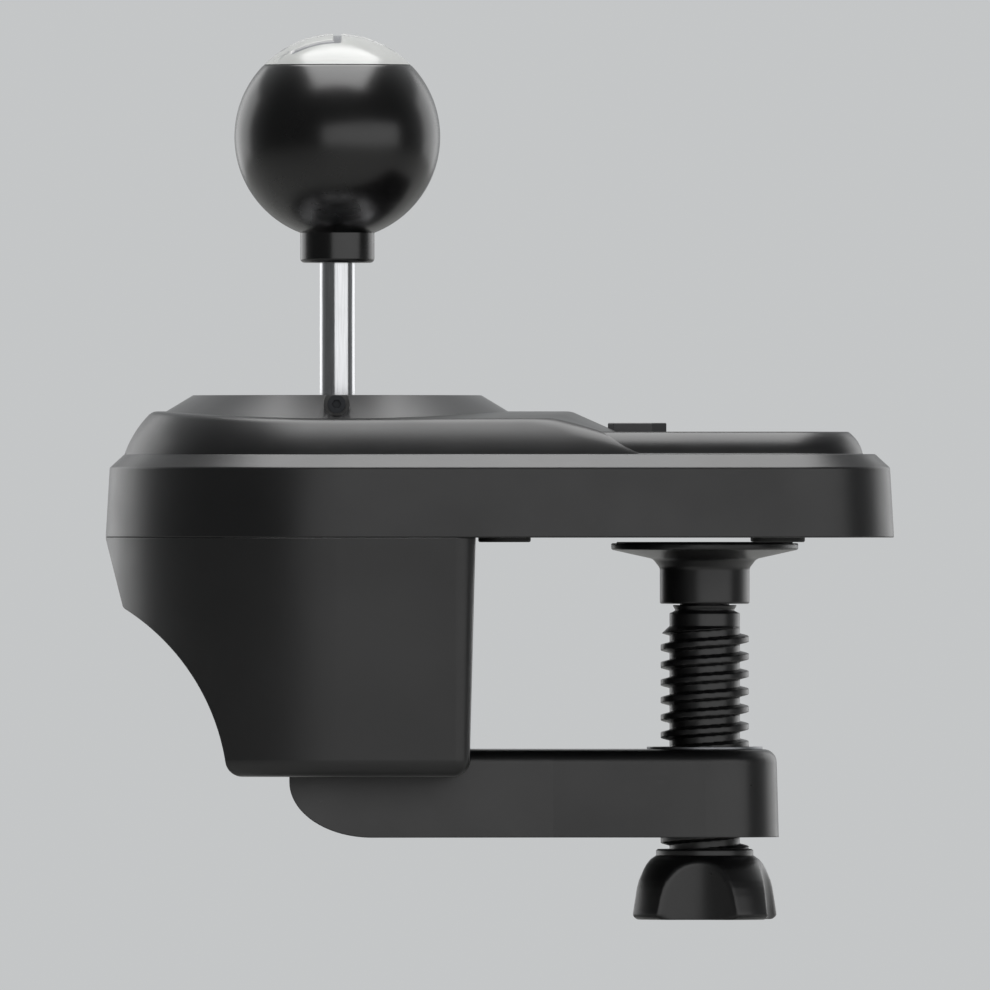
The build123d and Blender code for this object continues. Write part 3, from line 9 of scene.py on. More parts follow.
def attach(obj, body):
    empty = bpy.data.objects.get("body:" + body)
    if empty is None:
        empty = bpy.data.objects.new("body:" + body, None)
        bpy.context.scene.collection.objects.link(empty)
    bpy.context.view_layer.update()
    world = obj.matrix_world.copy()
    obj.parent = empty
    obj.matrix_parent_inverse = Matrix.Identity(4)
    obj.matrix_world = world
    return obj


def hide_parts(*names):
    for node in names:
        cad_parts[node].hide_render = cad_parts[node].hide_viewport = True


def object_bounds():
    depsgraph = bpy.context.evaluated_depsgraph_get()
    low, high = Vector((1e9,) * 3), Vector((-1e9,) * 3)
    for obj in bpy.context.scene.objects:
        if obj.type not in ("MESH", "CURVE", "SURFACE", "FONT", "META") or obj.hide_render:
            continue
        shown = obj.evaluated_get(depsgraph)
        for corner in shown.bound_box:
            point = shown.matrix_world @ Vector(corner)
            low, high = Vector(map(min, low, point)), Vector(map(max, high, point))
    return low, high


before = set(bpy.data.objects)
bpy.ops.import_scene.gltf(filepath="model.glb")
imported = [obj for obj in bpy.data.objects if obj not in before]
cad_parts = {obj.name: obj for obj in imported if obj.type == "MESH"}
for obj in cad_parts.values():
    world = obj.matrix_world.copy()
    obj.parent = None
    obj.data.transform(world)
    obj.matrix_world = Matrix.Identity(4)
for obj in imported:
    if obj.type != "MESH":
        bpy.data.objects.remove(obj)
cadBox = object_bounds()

mm = 0.001
print("frame loaded:", len(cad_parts), "solids")


# Small tools
def hexColour(code):  # sRGB hex to linear, with alpha
    parts = [int(code[i:i + 2], 16) / 255 for i in (1, 3, 5)]
    return tuple(c / 12.92 if c <= 0.04045 else ((c + 0.055) / 1.055) ** 2.4 for c in parts) + (1.0,)


def addNode(tree, kind, settings=None, links=None):
    node = tree.nodes.new(kind)
    for name, value in (settings or {}).items():
        if isinstance(name, int) or name in node.inputs:
            node.inputs[name].default_value = value
        else:
            setattr(node, name, value)
    for name, (source, output) in (links or {}).items():
        tree.links.new(source.outputs[output], node.inputs[name])
    return node


def newMaterial(name):
    material = bpy.data.materials.new(name)
    material.use_nodes = True
    tree = material.node_tree
    tree.nodes.clear()
    shader = addNode(tree, "ShaderNodeBsdfPrincipled")
    addNode(tree, "ShaderNodeOutputMaterial", links={"Surface": (shader, "BSDF")})
    place = addNode(tree, "ShaderNodeTexCoord")
    return material, tree, shader, place


def featureScale(sizeInMm):  # texture scale that gives features of this size
    return 1.0 / (sizeInMm * mm)


def meshPiece(name, vertices, faces, sharpDegrees=35):
    mesh = bpy.data.meshes.new(name)
    mesh.from_pydata([tuple(v) for v in vertices], [], faces)
    mesh.validate()
    return placedPiece(name, mesh, sharpDegrees)


def placedPiece(name, mesh, sharpDegrees=35):
    mesh.shade_smooth()
    mesh.set_sharp_from_angle(angle=math.radians(sharpDegrees))
    piece = bpy.data.objects.new(name, mesh)
    bpy.context.scene.collection.objects.link(piece)
    flats = piece.modifiers.new("flats", "WEIGHTED_NORMAL")
    flats.keep_sharp = True
    return piece


# Rings of points about a line, skinned one to the next; a radius or height may depend on the angle
def ringPiece(name, rings, steps=96, place=(0, 0, 0), turn=None, looped=False, closedEnds=True, sharpDegrees=35):
    turn = turn or Matrix.Identity(3)
    vertices, faces = [], []
    for radius, height in rings:
        for k in range(steps):
            angle = 2 * math.pi * k / steps
            r = radius(angle) if callable(radius) else radius
            z = height(angle) if callable(height) else height
            point = turn @ Vector((r * math.cos(angle), r * math.sin(angle), z)) * mm
            vertices.append(point + Vector(place) * mm)
    count = len(rings)
    for i in range(count if looped else count - 1):
        j = (i + 1) % count
        for k in range(steps):
            n = (k + 1) % steps
            faces.append((i * steps + k, i * steps + n, j * steps + n, j * steps + k))
    if closedEnds and not looped:
        faces.append(tuple(reversed(range(steps))))
        faces.append(tuple((count - 1) * steps + k for k in range(steps)))
    return meshPiece(name, vertices, faces, sharpDegrees)


# Corners of a profile turned into small arcs
def softProfile(points, rounds, looped=False, steps=5):
    done = []
    count = len(points)
    for i, (point, size) in enumerate(zip(points, rounds)):
        here = Vector(point)
        if size <= 0 or (not looped and i in (0, count - 1)):
            done.append(tuple(here))
            continue
        before = Vector(points[i - 1]) - here
        after = Vector(points[(i + 1) % count]) - here
        half = before.angle(after) / 2
        reach = min(size / math.tan(half), before.length * 0.45, after.length * 0.45)
        size = reach * math.tan(half)
        centre = here + (before.normalized() + after.normalized()).normalized() * (size / math.sin(half))
        first = here + before.normalized() * reach - centre
        sweep = math.pi - 2 * half
        side = 1 if before.cross(after) < 0 else -1
        for k in range(steps + 1):
            bend = Matrix.Rotation(side * sweep * k / steps, 2)
            done.append(tuple(centre + bend @ first))
    return done


def turned(name, points, rounds, looped=False, **more):
    return ringPiece(name, softProfile(points, rounds, looped), looped=looped, **more)


def facing(direction):  # rotation that takes +Z to a direction
    return Vector((0, 0, 1)).rotation_difference(Vector(direction)).to_matrix()


def hexRadius(apothem):
    return lambda angle: apothem / math.cos((angle + math.pi / 6) % (math.pi / 3) - math.pi / 6)


def softMin(a, b, k):
    h = np.clip(0.5 + 0.5 * (b - a) / k, 0, 1)
    return b * (1 - h) + a * h - k * h * (1 - h)


def joined(name, pieces):  # several meshes as one piece
    mesh = bpy.data.meshes.new(name)
    whole = bmesh.new()
    for piece in pieces:
        whole.from_mesh(piece.data)
    whole.to_mesh(mesh)
    whole.free()
    for piece in pieces:
        old = piece.data
        bpy.data.objects.remove(piece)
        bpy.data.meshes.remove(old)
    return placedPiece(name, mesh)


def cutBy(piece, cutters):  # holes cut for good, the cutters removed
    piece.modifiers.clear()
    for cutter in cutters:
        cut = piece.modifiers.new("cut", "BOOLEAN")
        cut.operation = "DIFFERENCE"
        cut.solver = "EXACT"
        cut.object = cutter
    bpy.context.view_layer.update()
    mesh = bpy.data.meshes.new_from_object(piece.evaluated_get(bpy.context.evaluated_depsgraph_get()))
    piece.modifiers.clear()
    old = piece.data
    name = old.name
    piece.data = mesh
    bpy.data.meshes.remove(old)
    mesh.name = name
    for cutter in cutters:
        bpy.data.objects.remove(cutter)
    mesh.shade_smooth()
    mesh.set_sharp_from_angle(angle=math.radians(30))
    flats = piece.modifiers.new("flats", "WEIGHTED_NORMAL")
    flats.keep_sharp = True
    return piece


def prism(name, outline, low, high, axis="Z"):  # straight-sided block over an outline, for cutting
    count = len(outline)
    turnTo = {"Z": lambda u, v, w: (u, v, w), "X": lambda u, v, w: (w, u, v)}[axis]
    vertices = [Vector(turnTo(u, v, w)) * mm for w in (low, high) for u, v in outline]
    faces = [tuple(reversed(range(count))), tuple(range(count, 2 * count))]
    faces += [(k, (k + 1) % count, count + (k + 1) % count, count + k) for k in range(count)]
    return meshPiece(name, vertices, faces)


def slotOutline(halfWidth, halfHeight, centre=(0, 0), steps=16):
    points = []
    for side, start in ((1, -90), (-1, 90)):
        for k in range(steps + 1):
            angle = math.radians(start + 180 * k / steps)
            x = side * (halfWidth - halfHeight) + halfHeight * math.cos(angle)
            points.append((centre[0] + x, centre[1] + halfHeight * math.sin(angle)))
    return points


def circleOutline(radius, centre=(0, 0), steps=96):
    return [(centre[0] + radius * math.cos(2 * math.pi * k / steps),
             centre[1] + radius * math.sin(2 * math.pi * k / steps)) for k in range(steps)]


def finishPiece(piece, body, slot, material, *nodes):
    piece.data.materials.clear()
    piece.data.materials.append(material)
    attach(piece, body)
    if nodes:
        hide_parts(*nodes)
    return piece


# A moulded plastic: spark-eroded grain, slow gloss changes and faint rub marks
def mouldedPlastic(name, colour, roughness, grainMm, grainDepthMm, edgeMm=0.0, rubs=0.5, coat=0.0):
    material, tree, shader, place = newMaterial(name)
    grain = addNode(tree, "ShaderNodeTexNoise", {"Scale": featureScale(grainMm), "Detail": 3.0, "Roughness": 0.6},
                    {"Vector": (place, "Object")})
    cloud = addNode(tree, "ShaderNodeTexNoise", {"Scale": featureScale(22), "Detail": 4.0},
                    {"Vector": (place, "Object")})
    stretch = addNode(tree, "ShaderNodeMapping", {"Scale": (0.12, 1.0, 1.0), "Rotation": (0, 0.35, 0.2)},
                      {"Vector": (place, "Object")})
    rub = addNode(tree, "ShaderNodeTexNoise", {"Scale": featureScale(0.7), "Detail": 2.0},
                  {"Vector": (stretch, "Vector")})
    rubMask = addNode(tree, "ShaderNodeMapRange",
                      {"From Min": 0.62, "From Max": 0.78, "To Min": 0.0, "To Max": rubs}, {"Value": (rub, "Fac")})
    gloss = addNode(tree, "ShaderNodeMapRange",
                    {"From Min": 0.3, "From Max": 0.7, "To Min": roughness - 0.035, "To Max": roughness + 0.035},
                    {"Value": (cloud, "Fac")})
    worn = addNode(tree, "ShaderNodeMath", {"operation": "MULTIPLY_ADD", 1: -0.06},
                   {0: (rubMask, "Result"), 2: (gloss, "Result")})
    tone = addNode(tree, "ShaderNodeValToRGB", links={"Fac": (cloud, "Fac")})
    base = hexColour(colour)
    tone.color_ramp.elements[0].color = tuple(c * 0.9 for c in base[:3]) + (1,)
    tone.color_ramp.elements[1].color = tuple(min(1, c * 1.1) for c in base[:3]) + (1,)
    tree.links.new(tone.outputs["Color"], shader.inputs["Base Color"])
    tree.links.new(worn.outputs["Value"], shader.inputs["Roughness"])
    bump = addNode(tree, "ShaderNodeBump", {"Strength": 0.5, "Distance": grainDepthMm * mm},
                   {"Height": (grain, "Fac")})
    if edgeMm:
        edge = addNode(tree, "ShaderNodeBevel", {"samples": 6, "Radius": edgeMm * mm})
        tree.links.new(edge.outputs["Normal"], bump.inputs["Normal"])
    tree.links.new(bump.outputs["Normal"], shader.inputs["Normal"])
    shader.inputs["IOR"].default_value = 1.52
    shader.inputs["Coat Weight"].default_value = coat
    shader.inputs["Coat Roughness"].default_value = 0.08
    return material


# A worked metal: tool or brush lines along one axis, with a little tarnish
def workedMetal(name, colour, roughness, lineMm, axis, depthMm, spread=0.06, edgeMm=0.0):
    material, tree, shader, place = newMaterial(name)
    scale = [1.0, 1.0, 1.0]
    scale[axis] = 0.03
    stretch = addNode(tree, "ShaderNodeMapping", {"Scale": tuple(scale)}, {"Vector": (place, "Object")})
    lines = addNode(tree, "ShaderNodeTexNoise", {"Scale": featureScale(lineMm), "Detail": 3.0},
                    {"Vector": (stretch, "Vector")})
    cloud = addNode(tree, "ShaderNodeTexNoise", {"Scale": featureScale(9), "Detail": 3.0},
                    {"Vector": (place, "Object")})
    both = addNode(tree, "ShaderNodeMath", {"operation": "MULTIPLY_ADD", 1: 0.6},
                   {0: (lines, "Fac"), 2: (cloud, "Fac")})
    smooth, rough = max(0.02, roughness - spread), roughness + spread
    gloss = addNode(tree, "ShaderNodeMapRange",
                    {"From Min": 0.5, "From Max": 1.1, "To Min": smooth, "To Max": rough}, {"Value": (both, "Value")})
    tone = addNode(tree, "ShaderNodeValToRGB", links={"Fac": (lines, "Fac")})
    base = hexColour(colour)
    tone.color_ramp.elements[0].position = 0.3
    tone.color_ramp.elements[0].color = tuple(c * 0.82 for c in base[:3]) + (1,)
    tone.color_ramp.elements[1].position = 0.7
    tone.color_ramp.elements[1].color = base
    tree.links.new(tone.outputs["Color"], shader.inputs["Base Color"])
    tree.links.new(gloss.outputs["Result"], shader.inputs["Roughness"])
    bump = addNode(tree, "ShaderNodeBump", {"Strength": 0.4, "Distance": depthMm * mm}, {"Height": (lines, "Fac")})
    if edgeMm:
        edge = addNode(tree, "ShaderNodeBevel", {"samples": 6, "Radius": edgeMm * mm})
        tree.links.new(edge.outputs["Normal"], bump.inputs["Normal"])
    tree.links.new(bump.outputs["Normal"], shader.inputs["Normal"])
    shader.inputs["Metallic"].default_value = 1.0
    return material


# Black ABS with a fine spark-eroded skin: soft grey sheen, no clear reflections
# The grain is drawn at 0.5 mm, because the real 0.1 mm would not show
sparkErodedAbs = mouldedPlastic("sparkErodedAbs", "#0f0f10", 0.35, 0.5, 0.012)
# The same ABS on the housing, where the solid's own edges show and need a small round
housingAbs = mouldedPlastic("housingAbs", "#101011", 0.37, 0.5, 0.012, edgeMm=0.5)
# Glass-filled nylon of the clamp: a touch glossier, with more rub marks
glassFilledNylon = mouldedPlastic("glassFilledNylon", "#0e0e0f", 0.33, 0.7, 0.015, edgeMm=0.4, rubs=0.8)
# Phenolic ball, turned and buffed: deep black under a clear gloss
buffedPhenolic = mouldedPlastic("buffedPhenolic", "#060606", 0.26, 1.4, 0.003, rubs=0.6)
# Smooth ABS of the button, dark grey and a little soft
polishedAbsButton = mouldedPlastic("polishedAbsButton", "#3a3a3c", 0.42, 0.4, 0.006, edgeMm=0.25)
# Unpainted inner mouldings and sockets: plain charcoal
mouldedNylonInner = mouldedPlastic("mouldedNylonInner", "#1b1b1c", 0.5, 0.6, 0.01, edgeMm=0.2)
# Moulded rubber: matt, slightly dusty black
mouldedNitrileRubber = mouldedPlastic("mouldedNitrileRubber", "#121212", 0.72, 0.6, 0.03, rubs=1.0)

# Steel bar, ground and polished along its length: bright with fine lines, drawn at 0.3 mm for the real 0.05 mm
polishedSteelBar = workedMetal("polishedSteelBar", "#c6c7c9", 0.17, 0.3, 2, 0.001, spread=0.04)
# Stainless sheet, brushed along the slots: silky streaks
brushedStainlessSheet = workedMetal("brushedStainlessSheet", "#b4b4b6", 0.3, 0.35, 0, 0.004, edgeMm=0.15)
# Turned and ground steel of pins and rings
turnedSteel = workedMetal("turnedSteel", "#a9abad", 0.27, 0.3, 0, 0.003, edgeMm=0.15)
# Black oxide on steel screws: near black with a metal glint
blackOxideSteel = workedMetal("blackOxideSteel", "#2b2c2e", 0.33, 0.5, 2, 0.004, edgeMm=0.12)
# Zinc casting: dull silver with a soft mottling
castZinc = workedMetal("castZinc", "#8f9194", 0.42, 1.2, 1, 0.01, spread=0.08, edgeMm=0.3)
# Oil-filled bronze of the bushes
sinteredBronze = workedMetal("sinteredBronze", "#96703c", 0.4, 0.4, 0, 0.006, edgeMm=0.15)
# Drawn spring wire
drawnSpringWire = workedMetal("drawnSpringWire", "#8d9093", 0.25, 0.25, 0, 0.002)
# Nickel plate of the magnet
nickelPlate = workedMetal("nickelPlate", "#c3c1ba", 0.16, 0.8, 0, 0.001)
# Gold flash on the sockets' contacts
goldFlash = workedMetal("goldFlash", "#c9a24e", 0.22, 0.3, 0, 0.001)


# Satin black paint over the cast bezel: faint orange peel under a thin clear coat
def paintedBezel():
    settings = {"colour": "#1a1a1b", "roughness": 0.34, "peelMm": 1.1, "peelDepthMm": 0.006, "coat": 0.2}
    material = mouldedPlastic("satinPaintOnZinc", settings["colour"], settings["roughness"], settings["peelMm"],
                              settings["peelDepthMm"], rubs=0.4, coat=settings["coat"])
    material.node_tree.nodes["Principled BSDF"].inputs["Coat Roughness"].default_value = 0.3
    return material


satinPaintOnZinc = paintedBezel()


# White acrylic cap, gloss, with grey paint wiped into its engraved lines
def whiteCap():
    settings = {"white": "#a3a4a2", "shade": "#9c9d9b", "line": "#66676a", "roughness": 0.2}
    material, tree, shader, place = newMaterial("whiteAcrylic")
    groove = addNode(tree, "ShaderNodeAttribute", {"attribute_name": "engraving"})
    cloud = addNode(tree, "ShaderNodeTexNoise", {"Scale": featureScale(5), "Detail": 4.0},
                    {"Vector": (place, "Object")})
    tint = addNode(tree, "ShaderNodeValToRGB", links={"Fac": (cloud, "Fac")})
    tint.color_ramp.elements[0].color = hexColour(settings["shade"])
    tint.color_ramp.elements[1].color = hexColour(settings["white"])
    mix = addNode(tree, "ShaderNodeMix", {"data_type": "RGBA"}, {"Factor": (groove, "Fac")})
    tree.links.new(tint.outputs["Color"], mix.inputs[6])
    mix.inputs[7].default_value = hexColour(settings["line"])
    tree.links.new(mix.outputs[2], shader.inputs["Base Color"])
    scuff = addNode(tree, "ShaderNodeMapRange",
                    {"From Min": 0.3, "From Max": 0.7, "To Min": settings["roughness"] - 0.05,
                     "To Max": settings["roughness"] + 0.08}, {"Value": (cloud, "Fac")})
    tree.links.new(scuff.outputs["Result"], shader.inputs["Roughness"])
    shader.inputs["IOR"].default_value = 1.49
    shader.inputs["Subsurface Weight"].default_value = 0.04
    shader.inputs["Subsurface Radius"].default_value = (0.002, 0.002, 0.002)
    return material


whiteAcrylic = whiteCap()

# Grey ink of the gear numbers on the cap
padPrintInk = mouldedPlastic("padPrintInk", "#77787a", 0.45, 0.3, 0.001, rubs=0.2)


# Circuit board: green mask over copper tracks, which show through it a little lighter
def maskedLaminate():
    settings = {"mask": "#0f3d1f", "maskThin": "#114423", "track": "#1d5c31", "trackMm": 1.4}
    material, tree, shader, place = newMaterial("maskedLaminate")
    tracks = addNode(tree, "ShaderNodeTexBrick",
                     {"Scale": featureScale(settings["trackMm"]) * 0.25, "Mortar Size": 0.03,
                      "Color1": hexColour(settings["mask"]), "Color2": hexColour(settings["maskThin"]),
                      "Mortar": hexColour(settings["track"])}, {"Vector": (place, "Object")})
    tree.links.new(tracks.outputs["Color"], shader.inputs["Base Color"])
    bump = addNode(tree, "ShaderNodeBump", {"Strength": 0.3, "Distance": 0.03 * mm}, {"Height": (tracks, "Fac")})
    tree.links.new(bump.outputs["Normal"], shader.inputs["Normal"])
    shader.inputs["Roughness"].default_value = 0.35
    return material


solderMaskBoard = maskedLaminate()
print("materials made")


# Sizes shared by several pieces, in millimetres
shifter = {
    "leverX": -89.2, "pivotY": 6.5, "ballZ": 98.4,
    "shelfZ": 21.3, "turretZ": 31.7, "bezelZ": 35.6, "gateSeat": 32.5, "gateTop": 35.0, "gateHole": 30.8,
    "halfWidth": 56.2, "rightEnd": 45.7, "cornerRadius": 28.0, "knobTop": -74.5,
}
leverX, pivotY, ballZ = shifter["leverX"], shifter["pivotY"], shifter["ballZ"]


# Top cover: skirt, bevel, shelf and deck as one closed shell
coverShape = {
    "outer": [(0.0, 1.1), (0.974, 18.0), (4.574, 21.3), (7.574, 21.3)],  # inset, height
    "outerRounds": [0.35, 0.9, 0.9, 0.6],
    "deckSide": [(7.574, 21.3), (8.25, 24.7), (11.1, 26.7)], "deckSideSteps": 10,
    "inner": [(13.1, 24.3), (9.97, 18.9), (3.43, 18.9), (2.4, 1.1)], "deckEnd": (12.4, 26.7),
    "button": {"low": -23.5, "high": -9.3, "half": 4.5, "tip": 1.3, "taper": 3.5}, "buttonGap": 0.25,
    "usbHalf": (4.47, 1.6), "usbZ": 6.6, "usbRecess": 1.6, "recessDepth": 1.12,
    "dinRadius": 4.75, "dinCentre": (22.0, 10.1), "portGap": 0.15,
    "cutDown": (23.0, 28.0), "cutInwards": (-8.0, 2.0),  # where the cutters start and end
}


def baseOutline(pointsPerQuarter=44):  # points with the direction inwards
    outline = []
    half = shifter["halfWidth"]
    corner = shifter["cornerRadius"]
    cornerX = shifter["rightEnd"] - corner
    for k in range(2 * pointsPerQuarter + 1):
        angle = math.radians(90 + 180 * k / (2 * pointsPerQuarter))
        outward = Vector((math.cos(angle), math.sin(angle)))
        outline.append((Vector((leverX, 0)) + outward * half, -outward))
    for k in range(1, 40):
        outline.append((Vector((leverX + (cornerX - leverX) * k / 40, -half)), Vector((0, 1))))
    for centreY, start in ((-half + corner, -90), (half - corner, 0)):
        for k in range(pointsPerQuarter + 1):
            angle = math.radians(start + 90 * k / pointsPerQuarter)
            outward = Vector((math.cos(angle), math.sin(angle)))
            outline.append((Vector((cornerX, centreY)) + outward * corner, -outward))
        if start == -90:
            for k in range(1, 8):
                y = -half + corner + (2 * half - 2 * corner) * k / 8
                outline.append((Vector((shifter["rightEnd"], y)), Vector((-1, 0))))
    for k in range(1, 40):
        outline.append((Vector((cornerX + (leverX - cornerX) * k / 40, half)), Vector((0, -1))))
    return outline


def buttonOutline(grow):
    b = coverShape["button"]
    low, high, wide = b["low"] - grow, b["high"] + grow, b["half"] + grow
    side = [(low, b["tip"]), (low + b["tip"], wide), (high - b["taper"], wide), (high, b["tip"])]
    return [(x, -y) for x, y in side] + list(reversed(side))


def makeCoverShell():
    s = coverShape
    outline = baseOutline()
    foot, lean, top = [Vector(point) for point in s["deckSide"]]
    steps = s["deckSideSteps"]
    curve = [foot.lerp(lean, k / steps).lerp(lean.lerp(top, k / steps), k / steps) for k in range(1, steps + 1)]
    outer = softProfile([s["inner"][-1]] + s["outer"] + [tuple(curve[0])], [0] + s["outerRounds"] + [0])
    profile = s["inner"] + outer[1:] + [tuple(point) for point in curve[1:]] + [s["deckEnd"]]
    count = len(outline)
    vertices, faces = [], []
    for inset, height in profile:
        for point, inward in outline:
            spot = point + inward * inset
            vertices.append(Vector((spot.x, spot.y, height)) * mm)
    rows = len(profile)
    for i in range(rows - 1):
        for k in range(count):
            n = (k + 1) % count
            faces.append((i * count + n, i * count + k, (i + 1) * count + k, (i + 1) * count + n)[::-1])
    faces.append(tuple(range(count))[::-1])
    faces.append(tuple((rows - 1) * count + k for k in range(count)))
    shell = meshPiece("topCoverShell", vertices, faces)
    check = bmesh.new()
    check.from_mesh(shell.data)
    bmesh.ops.recalc_face_normals(check, faces=check.faces)
    check.to_mesh(shell.data)
    check.free()
    gap, (wide, tall), port = s["portGap"], s["usbHalf"], (0, s["usbZ"])
    near, far = [shifter["rightEnd"] + depth for depth in s["cutInwards"]]
    cutters = [
        prism("cutButton", buttonOutline(s["buttonGap"]), *s["cutDown"]),
        prism("cutGate", circleOutline(shifter["gateHole"], (leverX, 0)), *s["cutDown"]),
        prism("cutUsb", slotOutline(wide + gap, tall + gap, port), near, far, "X"),
        prism("cutUsbRecess", slotOutline(wide + s["usbRecess"], tall + s["usbRecess"], port),
              shifter["rightEnd"] - s["recessDepth"], far, "X"),
        prism("cutDin", circleOutline(s["dinRadius"] + gap, s["dinCentre"], 64), near, far, "X"),
    ]
    cutBy(shell, cutters)
    return finishPiece(shell, "base", "body_plastic", sparkErodedAbs, "top_cover")


makeCoverShell()

# Turret with its crown and ramp, as heights over rings about the lever
turretShape = {
    "radius": 51.626, "draftDegrees": 33.0, "wallBulge": 0.75, "endX": -12.0, "endHalf": 48.626,
    "crownRadius": 555.0, "rampTopX": -32.4, "rampSweep": 71.0, "rampSlope": 0.446, "rampSideSlope": 0.07,
    "rampSideCurve": 0.0079, "edgeBlend": 1.1, "rampEdgeBlend": 3.2, "rampBlend": 0.5,
    "flangeRadius": 32.6, "boreLowZ": 25.0, "past": 0.39, "pastEnd": 1.0,  # how far the outline is carried on
    "angles": 540, "rings": 150, "insetRange": (-1.0, 14.0), "halvings": 26,
}


def makeTurret():
    s = turretShape
    angles = np.linspace(0, 2 * np.pi, s["angles"], endpoint=False)

    def supports(inset):  # circle radius and tangent direction of the outline drawn in by inset
        r = s["radius"] - inset
        px, py = s["endX"] - leverX, s["endHalf"] - inset
        reach = np.hypot(px, py)
        return r, np.arctan2(py, px) + np.arccos(r / reach)

    def outside(x, y, inset):  # how far a point lies outside that outline
        r, beta = supports(inset)
        y = np.abs(y)
        flat = x * np.cos(beta) + y * np.sin(beta) - r
        return np.where(np.arctan2(y, x) >= beta, np.hypot(x, y) - r, flat)

    r, beta = supports(-s["past"])
    folded = np.abs((angles + np.pi) % (2 * np.pi) - np.pi)
    reach = np.where(folded >= beta, r, r / np.maximum(np.cos(folded - beta), 0.05))
    ahead = np.maximum(np.cos(angles), 0.05)
    reach = np.where(ahead > 0.05, np.minimum(reach, (s["endX"] + s["pastEnd"] - leverX) / ahead), reach)
    share = np.linspace(0, 1, s["rings"])[:, None]
    flange = s["flangeRadius"]
    x = (flange + (reach[None, :] - flange) * share) * np.cos(angles)[None, :]
    y = (flange + (reach[None, :] - flange) * share) * np.sin(angles)[None, :]
    low, high = [np.full(x.shape, inset) for inset in s["insetRange"]]
    for _ in range(s["halvings"]):
        middle = (low + high) / 2
        beyond = outside(x, y, middle) > 0
        high = np.where(beyond, middle, high)
        low = np.where(beyond, low, middle)
    rise = shifter["turretZ"] - shifter["shelfZ"]
    run = rise * math.tan(math.radians(s["draftDegrees"]))
    chord = math.hypot(rise, run)
    wallRadius = (chord ** 2 / 4 + s["wallBulge"] ** 2) / (2 * s["wallBulge"])
    sink = wallRadius - s["wallBulge"]
    wallIn, wallDown = run / 2 + sink * rise / chord, rise / 2 - sink * run / chord
    wall = shifter["shelfZ"] + wallDown + np.sqrt(np.maximum(wallRadius ** 2 - (low - wallIn) ** 2, 0))
    crown = shifter["turretZ"] - s["crownRadius"] + np.sqrt(s["crownRadius"] ** 2 - y ** 2)
    sweepX = s["rampTopX"] - s["rampSweep"] - leverX
    toSide = (y / s["endHalf"]) ** 2
    slope = s["rampSlope"] + (s["rampSideSlope"] - s["rampSlope"]) * toSide
    along = np.hypot(x - sweepX, y) - s["rampSweep"]
    ramp = shifter["turretZ"] - along * slope - s["rampSideCurve"] * toSide * along * np.abs(along)
    onRamp = np.clip((crown - ramp) / 2 + 0.5, 0, 1)
    edge = s["edgeBlend"] + (s["rampEdgeBlend"] - s["edgeBlend"]) * onRamp
    height = softMin(softMin(crown, ramp, s["rampBlend"]), wall, edge)
    bore = [(shifter["gateHole"], s["boreLowZ"]), (shifter["gateHole"], shifter["gateSeat"]),
            (flange, shifter["gateSeat"])]
    rows = [(np.cos(angles) * size, np.sin(angles) * size, np.full(angles.shape, z)) for size, z in bore]
    rows += [(x[i], y[i], height[i]) for i in range(s["rings"])]
    vertices = [(leverX * mm + px * mm, py * mm, pz * mm) for row in rows for px, py, pz in zip(*row)]
    count = s["angles"]
    faces = []
    for i in range(len(rows) - 1):
        for k in range(count):
            n = (k + 1) % count
            faces.append((i * count + k, (i + 1) * count + k, (i + 1) * count + n, i * count + n))
    turret = meshPiece("topCoverTurret", vertices, faces, sharpDegrees=50)
    return finishPiece(turret, "base", "body_plastic", sparkErodedAbs)


makeTurret()
print("top cover made")


# Bezel ring, with a hole for a screw at each side
bezelShape = {"bore": 32.8, "topRadius": 35.0, "slopeDegrees": 31.0, "lowZ": 29.4, "holeRadius": 3.15,
              "holeZ": 33.4, "holeFrom": 34.2, "holeLength": 14.0, "rounds": [0, 0.3, 0.35, 0]}


def makeBezel():
    s = bezelShape
    top, low = shifter["bezelZ"], s["lowZ"]
    footRadius = s["topRadius"] + (top - low) / math.tan(math.radians(s["slopeDegrees"]))
    bezel = turned("bezelRing", [(s["bore"], low), (s["bore"], top), (s["topRadius"], top), (footRadius, low)],
                   s["rounds"], looped=True, steps=240, place=(leverX, 0, 0))
    holes = [
        ringPiece("cutHole", [(s["holeRadius"], 0), (s["holeRadius"], s["holeLength"])], 48,
                  (leverX, side * s["holeFrom"], s["holeZ"]), facing((0, side, 0)))
        for side in (1, -1)
    ]
    cutBy(bezel, holes)
    return finishPiece(bezel, "base", "bezel_paint", satinPaintOnZinc, "bezel_ring")


makeBezel()

# Gate plate with four slots
gateShape = {"radius": 32.6, "pitch": 13.0, "throw": 15.87, "slotHalf": 5.35, "channelHalf": 4.6,
             "chamfer": 0.3, "screwCircle": 28.6, "screwHole": 2.6, "webRound": 0.5}


def gateSlots():  # one outline for the slots and the channel that joins them
    s = gateShape
    columns = [s["pitch"] * (1.5 - i) for i in range(4)]
    inner, webEnd, half = s["channelHalf"], s["channelHalf"] + s["webRound"], s["slotHalf"]
    side = []
    for i, y in enumerate(columns):
        for k in range(19):
            angle = math.radians(90 - 10 * k)
            side.append((s["throw"] + half * math.cos(angle), y + half * math.sin(angle)))
        if i < 3:
            below = columns[i + 1] + half
            side += [(webEnd, y - half), (inner, y - half - s["webRound"]),
                     (inner, below + s["webRound"]), (webEnd, below)]
    return side + [(-x, y) for x, y in reversed(side)]


